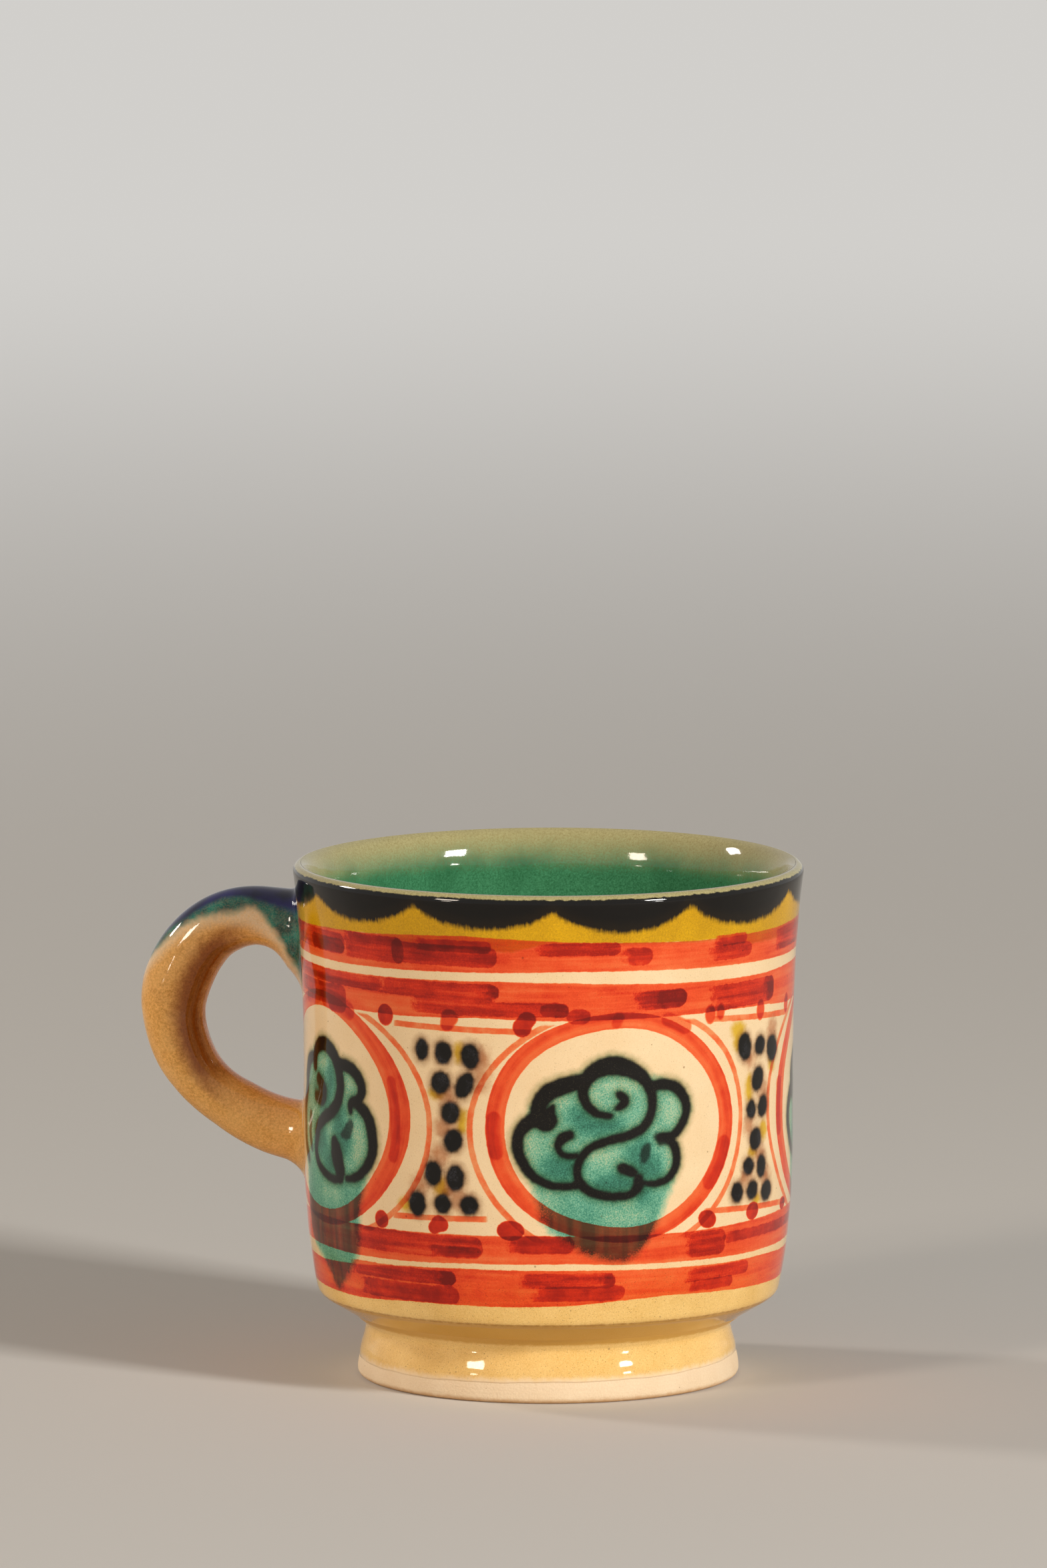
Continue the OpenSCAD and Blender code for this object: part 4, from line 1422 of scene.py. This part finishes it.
# %% Red and turquoise pigment: thickness to tint
STAIN_RANGE = 3.0
RED_TINTS = (
    (0.0, (1.0, 1.0, 1.0)), (0.3, (0.97, 0.44, 0.26)), (0.65, (0.96, 0.22, 0.095)),
    (1.0, (0.92, 0.13, 0.045)), (1.5, (0.74, 0.042, 0.011)), (2.1, (0.44, 0.016, 0.005)),
    (3.0, (0.22, 0.007, 0.003)),
)
TEAL_TINTS = (
    (0.0, (1.0, 1.0, 1.0)), (0.25, (0.54, 0.86, 0.90)), (0.6, (0.20, 0.68, 0.76)),
    (1.0, (0.07, 0.41, 0.46)), (1.5, (0.027, 0.20, 0.22)), (2.2, (0.011, 0.08, 0.085)),
    (3.0, (0.005, 0.03, 0.03)),
)


def pigment(thickness, tints):
    """The tint that a thickness of pigment gives to what lies under it."""
    ramp = add("ValToRGB", {"Fac": times(thickness, 1 / STAIN_RANGE)})
    stops = ramp.color_ramp.elements
    for position, tint in tints[1:-1]:
        stops.new(position / STAIN_RANGE)
    for stop, (position, tint) in zip(stops, tints):
        stop.position = position / STAIN_RANGE
        stop.color = (*tint, 1)
    return ramp.outputs["Color"]


# %% The painted wall: the noises that its colours share
GLAZE_IOR = 1.4
painted_look, tree, sockets = material("painted_under_glaze", 0.05, GLAZE_IOR)
wall_height = layer_depth("lip")
grain = use(clay_grain)
fine_grain = use(clay_grain, Grain=1.4, Density=1.9)
blotches, granules = noise("blotches"), noise("granules")


def patchy(low, high):
    """A value that changes from low to high in soft blotches."""
    return of_noise(blotches, low, high)


# %% The ground: cream above, honey below, with iron in it
# Colours are linear. A pair goes from the dark to the light parts of a grain
CREAM = (0.82, 0.57, 0.30), (0.94, 0.73, 0.46)
HONEY = (0.76, 0.45, 0.12), (0.95, 0.65, 0.25)
HONEY_SPECK, IRON_SPECK, PINPRICK = (0.28, 0.12, 0.03), (0.28, 0.14, 0.05), (0.30, 0.14, 0.035)
# The first two tints on the next line are painted shade: the underside below the corner, and the
# dark line along it
UNDERSIDE_SHADE, CORNER_SHADE_LINE, THIN_GLAZE = (0.58, 0.295, 0.045), (0.30, 0.12, 0.02), (0.93, 0.72, 0.48)
CREAM_END, HONEY_START = 27.0, 17.5
# Under the corner, in millimetres: where the painted shade starts, where the painted dark line
# lies, and its half width
UNDERSIDE_SHADE_DROP, LINE_DROP, LINE_HALF = 0.1, 0.15, 0.12

cream = blend(spread(grain["Tone"], -0.5, 0.5), *CREAM)
honey = blend(spread(fine_grain["Tone"], -0.4, 0.4), *HONEY)
honey = specked(honey, fine_grain, 0.55, HONEY_SPECK)
low_down = spread(wall_height, CREAM_END, HONEY_START, kind="SMOOTHSTEP")
ground = blend(low_down, cream, honey)
# Pinpricks of iron, many where the clay is honey and few where it is cream
pinpricks = spread(noise("pinpricks"), 0.66, 0.74)
ground = blend(times(pinpricks, spread(low_down, 0.0, 1.0, 0.3, 0.75)), ground, PINPRICK)
ground = specked(ground, grain, 0.6, IRON_SPECK)
# Painted shade: the underside below the corner is darkened, as it faces down, and a dark line is
# painted along the corner where the wall turns under. The glaze thins to a pale edge where it stops
under = maths("MINIMUM", minus(CORNER_H - UNDERSIDE_SHADE_DROP, wall_height), minus(wall_height, CREASE_H))
ground = blend(times(edge(under, *UNDERSIDE_SHADE_EDGE), 0.85), ground, UNDERSIDE_SHADE)
from_corner = maths("ABSOLUTE", minus(wall_height, CORNER_H - LINE_DROP))
corner_shade_line = edge(minus(LINE_HALF, from_corner), *CORNER_SHADE_LINE_EDGE)
ground = blend(times(corner_shade_line, 0.6), ground, CORNER_SHADE_LINE)
ground = blend(mask("above_stop"), THIN_GLAZE, ground)

# %% Yellow
YELLOW = (0.44, 0.22, 0.001), (0.78, 0.43, 0.003)
YELLOW_SPECK = (0.10, 0.05, 0.006)
yellow_tone = plus(grain["Tone"], swing(granules, 0.8))
yellow = blend(spread(yellow_tone, -0.4, 0.4), *YELLOW)
yellow = specked(yellow, fine_grain, 0.7, YELLOW_SPECK)
yellow_mask = mask("yellow")
colour = blend(yellow_mask, ground, yellow)

# %% Red: how unevenly the brush gives off its pigment
uneven = spread(noise("streaks"), 0.33, 0.67, 0.7, 1.25)
uneven = times(uneven, of_noise(noise("broad_streaks"), 0.8, 1.2))
uneven = times(uneven, patchy(0.88, 1.12))
uneven = times(uneven, spread(granules, 0.25, 0.75, 0.85, 1.15))
# On a ring the streaks run round with the brush, and its outer half is darker
across = layer_depth("ring_across")
ring_way = add("CombineXYZ", {"X": across, "Y": times(wall_height, 0.06), "Z": 0.0})
ring_streaks = noise("ring_streaks", ring_way.outputs[0])
outer_half = spread(across, 0.7, 2.2, 0.72, 1.12, kind="SMOOTHSTEP")
ring_uneven = times(spread(ring_streaks, 0.33, 0.67, 0.85, 1.25), patchy(0.85, 1.2))
ring_uneven = times(ring_uneven, outer_half)

# %% Red strokes on the wall, as thickness of pigment
band_load = times(spread(yellow_mask, 0.0, 1.0, 1.0, 0.75), uneven)
red = times(mask("band"), band_load)
for name, load in (
    ("coat", times(uneven, 0.85)),
    ("coat_again", patchy(0.7, 1.2)),
    ("ring", ring_uneven),
    ("ring_coat", 0.55),
    ("drops", patchy(1.4, 2.1)),
    ("pale_drops", 1.15),
):
    red = plus(red, times(mask(name), load))
# The thin ring is cut off above and below, where the bands are
THIN_RING_W, PANEL_LINE_W = 1.0, 0.95
THIN_HALF = (THIN_RUN_UP + THIN_RUN_DOWN) / 2
from_middle = minus(wall_height, MIDDLE_H + THIN_RUN_UP - THIN_HALF)
within_run = edge(minus(THIN_HALF, maths("ABSOLUTE", from_middle)), *RUN_EDGE)
thin = times(line_mask("thin_ring", THIN_RING_W), spread(blotches, 0.35, 0.65, 0.32, 0.72))
lines = times(line_mask("line_across", PANEL_LINE_W), mask("line_ends"))
lines = times(lines, spread(blotches, 0.35, 0.65, 0.4, 0.8))
red = plus(red, maths("MAXIMUM", times(thin, within_run), lines))
colour = stained(colour, 1.0, pigment(red, RED_TINTS))

# %% Yellow touches, brown haze and the turquoise wash
YELLOW_TOUCH, BROWN_HAZE, WASH_ON_RED = (0.78, 0.62, 0.03), (0.60, 0.33, 0.22), (0.09, 0.24, 0.34)
WASH_BASE, WASH_LEAST = 0.5, 0.3
RUN_START, RUN_END = BLOSSOM_H - 7, BLOSSOM_H - 16
colour = stained(colour, times(mask("touches"), 0.95), YELLOW_TOUCH)
colour = stained(colour, times(mask("haze"), patchy(0.6, 1.0)), BROWN_HAZE)
wash_grain = noise("wash_grain")
# Turquoise runs downwards, so below the blossom it is thicker and streaked
runs = noise("runs")
sunk_low = spread(wall_height, RUN_START, RUN_END, 0.0, 0.2, kind="SMOOTHSTEP")
load = plus(WASH_BASE, times(mask("deep"), 0.65))
load = plus(load, times(sunk_low, of_noise(runs, 0.6, 1.4)))
load = minus(load, times(mask("pale"), 0.22))
load = plus(load, spread(wash_grain, 0.35, 0.8, -0.12, 0.75))
load = times(mask("wash"), maths("MAXIMUM", load, WASH_LEAST))
# Where it runs over red the two turn brown
brown_share = times(spread(load, 0.0, 0.6), spread(runs, 0.3, 0.6, 0.8, 1.0))
brown = blend(brown_share, (1.0, 1.0, 1.0), WASH_ON_RED)
wash_tint = blend(spread(red, 0.15, 0.7), pigment(load, TEAL_TINTS), brown)
colour = stained(colour, 1.0, wash_tint)

# %% Black: haloes, dots, outlines and the scalloped top
BLACK, DOT_MATT = (0.003, 0.002, 0.0012), (0.034, 0.034, 0.042)
THIN_OUTLINE, THIN_TOP = (0.03, 0.026, 0.014), (0.009, 0.005, 0.0015)
for name, kind, share, tint in (
    ("outline", HALO_EDGE, 0.75, (0.30, 0.36, 0.20)),
    ("dots", HALO_EDGE, 0.75, (0.36, 0.22, 0.13)),
    ("faint", None, 0.9, (0.07, 0.065, 0.07)),
):
    colour = stained(colour, times(mask(name, kind), share), tint)
matt = times(spread(blotches, 0.52, 0.64), spread(granules, 0.35, 0.7))
dot_black = blend(times(matt, 0.7), BLACK, DOT_MATT)
colour = blend(mask("dots"), colour, dot_black)
outline_black = blend(spread(wash_grain, 0.58, 0.75), BLACK, THIN_OUTLINE)
colour = blend(mask("outline"), colour, outline_black)
top_black = blend(mask("black_top", FULL_TOP_EDGE), THIN_TOP, BLACK)
colour = blend(mask("black_top", (*TOP_EDGE, swing(noise("bristles"), 1.1))), colour, top_black)

# %% The black stops on the roll of the lip, where the beige of the inside comes over
BEIGE = (0.33, 0.28, 0.11), (0.52, 0.46, 0.22)
BLACK_STOP = MUG_H - 0.32
lip_colour = blend(of_noise(granules), *BEIGE)
colour = blend(edge(minus(wall_height, BLACK_STOP), *STOP_EDGE), colour, lip_colour)
tree.links.new(colour, sockets["Base Color"])
ripple(sockets)
put_on(painted, painted_look)


# %% The green glaze inside
GREEN = (0.03, 0.15, 0.06), (0.085, 0.33, 0.16)
GREEN_CLOUD = (0.02, 0.11, 0.04)
GREEN_START, GREEN_FULL = 0.2, 7.0


def height_above_table():
    return add("SeparateXYZ", {"Vector": object_place()}).outputs["Z"]


liner_look, tree, sockets = material("green_glaze_inside", 0.06, GLAZE_IOR)
cloud, fine = noise("liner_cloud"), noise("fine")
# How far below the lip the beige has turned green, with an uneven edge
fade = minus(MUG_H, height_above_table())
fade = plus(plus(fade, swing(cloud, 3.0)), swing(fine, 4.0))
fine_share = of_noise(fine)
green = blend(fine_share, *GREEN)
green = blend(spread(cloud, 0.45, 0.7, 0.0, 0.5), green, GREEN_CLOUD)
green_share = spread(fade, GREEN_START, GREEN_FULL, kind="SMOOTHSTEP")
colour = blend(green_share, blend(fine_share, *BEIGE), green)
tree.links.new(colour, sockets["Base Color"])
ripple(sockets, 1.2, 1.2)
put_on(liner, liner_look)

# %% Bare clay
CLAY = (0.77, 0.57, 0.36), (0.90, 0.73, 0.51)
CLAY_SPECK, TREAD_BROWN = (0.40, 0.22, 0.10), (0.60, 0.33, 0.13)
TREAD_H = 0.6
clay_look, tree, sockets = material("bare_clay", 0.75)
grain = use(clay_grain, Density=0.8)
colour = blend(spread(grain["Tone"], -0.4, 0.4), *CLAY)
colour = specked(colour, grain, 0.7, CLAY_SPECK)
tread = edge(minus(TREAD_H, height_above_table()), *TREAD_EDGE)
colour = blend(times(tread, 0.8), colour, TREAD_BROWN)
tree.links.new(colour, sockets["Base Color"])
raised(sockets, plus(times(noise("ridges"), 0.5), times(noise("rough"), 0.5)), 0.15)
for bare in (foot, handle_core):
    put_on(bare, clay_look)
for node in ("cup", "foot_slip", "upper_slip", "lower_slip"):
    put_on(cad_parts[node], clay_look)

# %% The handle's honey glaze, with teal and blue over its crown
COIL = (0.56, 0.255, 0.045), (0.95, 0.50, 0.14)
TEAL = (0.002, 0.045, 0.036), (0.007, 0.17, 0.12)
BLUE = (0.004, 0.004, 0.03), (0.012, 0.010, 0.10)
# The third tint on the next line is painted shade for the inner side of the loop
COIL_CLOUD, COIL_SPECK, INNER_SHADE_TINT = (0.90, 0.53, 0.19), (0.20, 0.08, 0.015), (0.36, 0.19, 0.045)
PALE_EDGE = (0.78, 0.63, 0.42)
honey_look, tree, sockets = material("honey_glaze", 0.06, GLAZE_IOR)
grain = use(clay_grain, Density=1.3)
fine, cloud = noise("fine"), noise("coil_cloud")
colour = blend(spread(noise("coarse"), 0.32, 0.68), *COIL)
colour = blend(spread(cloud, 0.4, 0.7, 0.0, 0.35), colour, COIL_CLOUD)
colour = specked(colour, grain, 0.6, COIL_SPECK)
# Painted shade darkens the inner side of the loop
colour = stained(colour, times(mask("painted_inner_shade"), 0.95), INNER_SHADE_TINT)
pale_share = times(mask("pale_edge"), of_noise(fine, 0.45, 0.85))
colour = blend(pale_share, colour, PALE_EDGE)
teal_share = times(mask("teal"), spread(fine, 0.3, 0.6, 0.85, 1.0))
colour = blend(teal_share, colour, blend(spread(noise("mottle"), 0.35, 0.65), *TEAL))
blue = blend(spread(cloud, 0.35, 0.65), *BLUE)
colour = blend(mask("blue"), colour, blue)
tree.links.new(colour, sockets["Base Color"])
ripple(sockets, 1.5, 1.0)
put_on(handle, honey_look)

# %% [markdown]
# The pale surroundings
#
# Far from the mug the floor shows one pale colour to the camera and in reflections, and so
# does the world past the backdrop's ends. Only rays that show a thing see that colour, so it
# adds no light to the mug.

# %% Floor, backdrop and world
FLOOR_PALE = (0.62, 0.60, 0.57, 1)
FAR_PALE = (0.64, 0.625, 0.60, 1)
NEAR_M, FAR_M = 0.35, 2.0


def seen_rays():
    """One for rays that show a thing: to the camera, in a reflection or through glass."""
    path = add("LightPath").outputs
    seen = maths("MAXIMUM", path["Is Camera Ray"], path["Is Glossy Ray"])
    return maths("MAXIMUM", seen, path["Is Transmission Ray"])


tree = world.node_tree
pale_sky = add("Background", {"Color": FAR_PALE, "Strength": 1.0}).outputs[0]
shown = add("MixShader", {0: seen_rays(), 1: dim.outputs[0], 2: pale_sky})
tree.links.new(shown.outputs[0], tree.nodes["World Output"].inputs["Surface"])

stage_look, tree, sockets = material("pale_floor", 0.9)
sockets["Base Color"].default_value = FLOOR_PALE
in_metres = object_place((MM, MM, MM))
far_off = add("VectorMath", {0: in_metres}, operation="LENGTH").outputs["Value"]
share = times(spread(far_off, NEAR_M, FAR_M, kind="SMOOTHSTEP"), seen_rays())
near_floor = tree.nodes["Principled BSDF"].outputs[0]
far_floor = add("Emission", {"Color": FAR_PALE, "Strength": 1.0}).outputs[0]
shown = add("MixShader", {0: share, 1: near_floor, 2: far_floor})
tree.links.new(shown.outputs[0], tree.nodes["Material Output"].inputs["Surface"])
put_on(stage, stage_look)

# %% The size of what is shown, and the end
shown_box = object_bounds()
for label, corners in (("cad", cad_box), ("shown", shown_box)):
    print(label, [[round(c / MM, 2) for c in v] for v in corners])
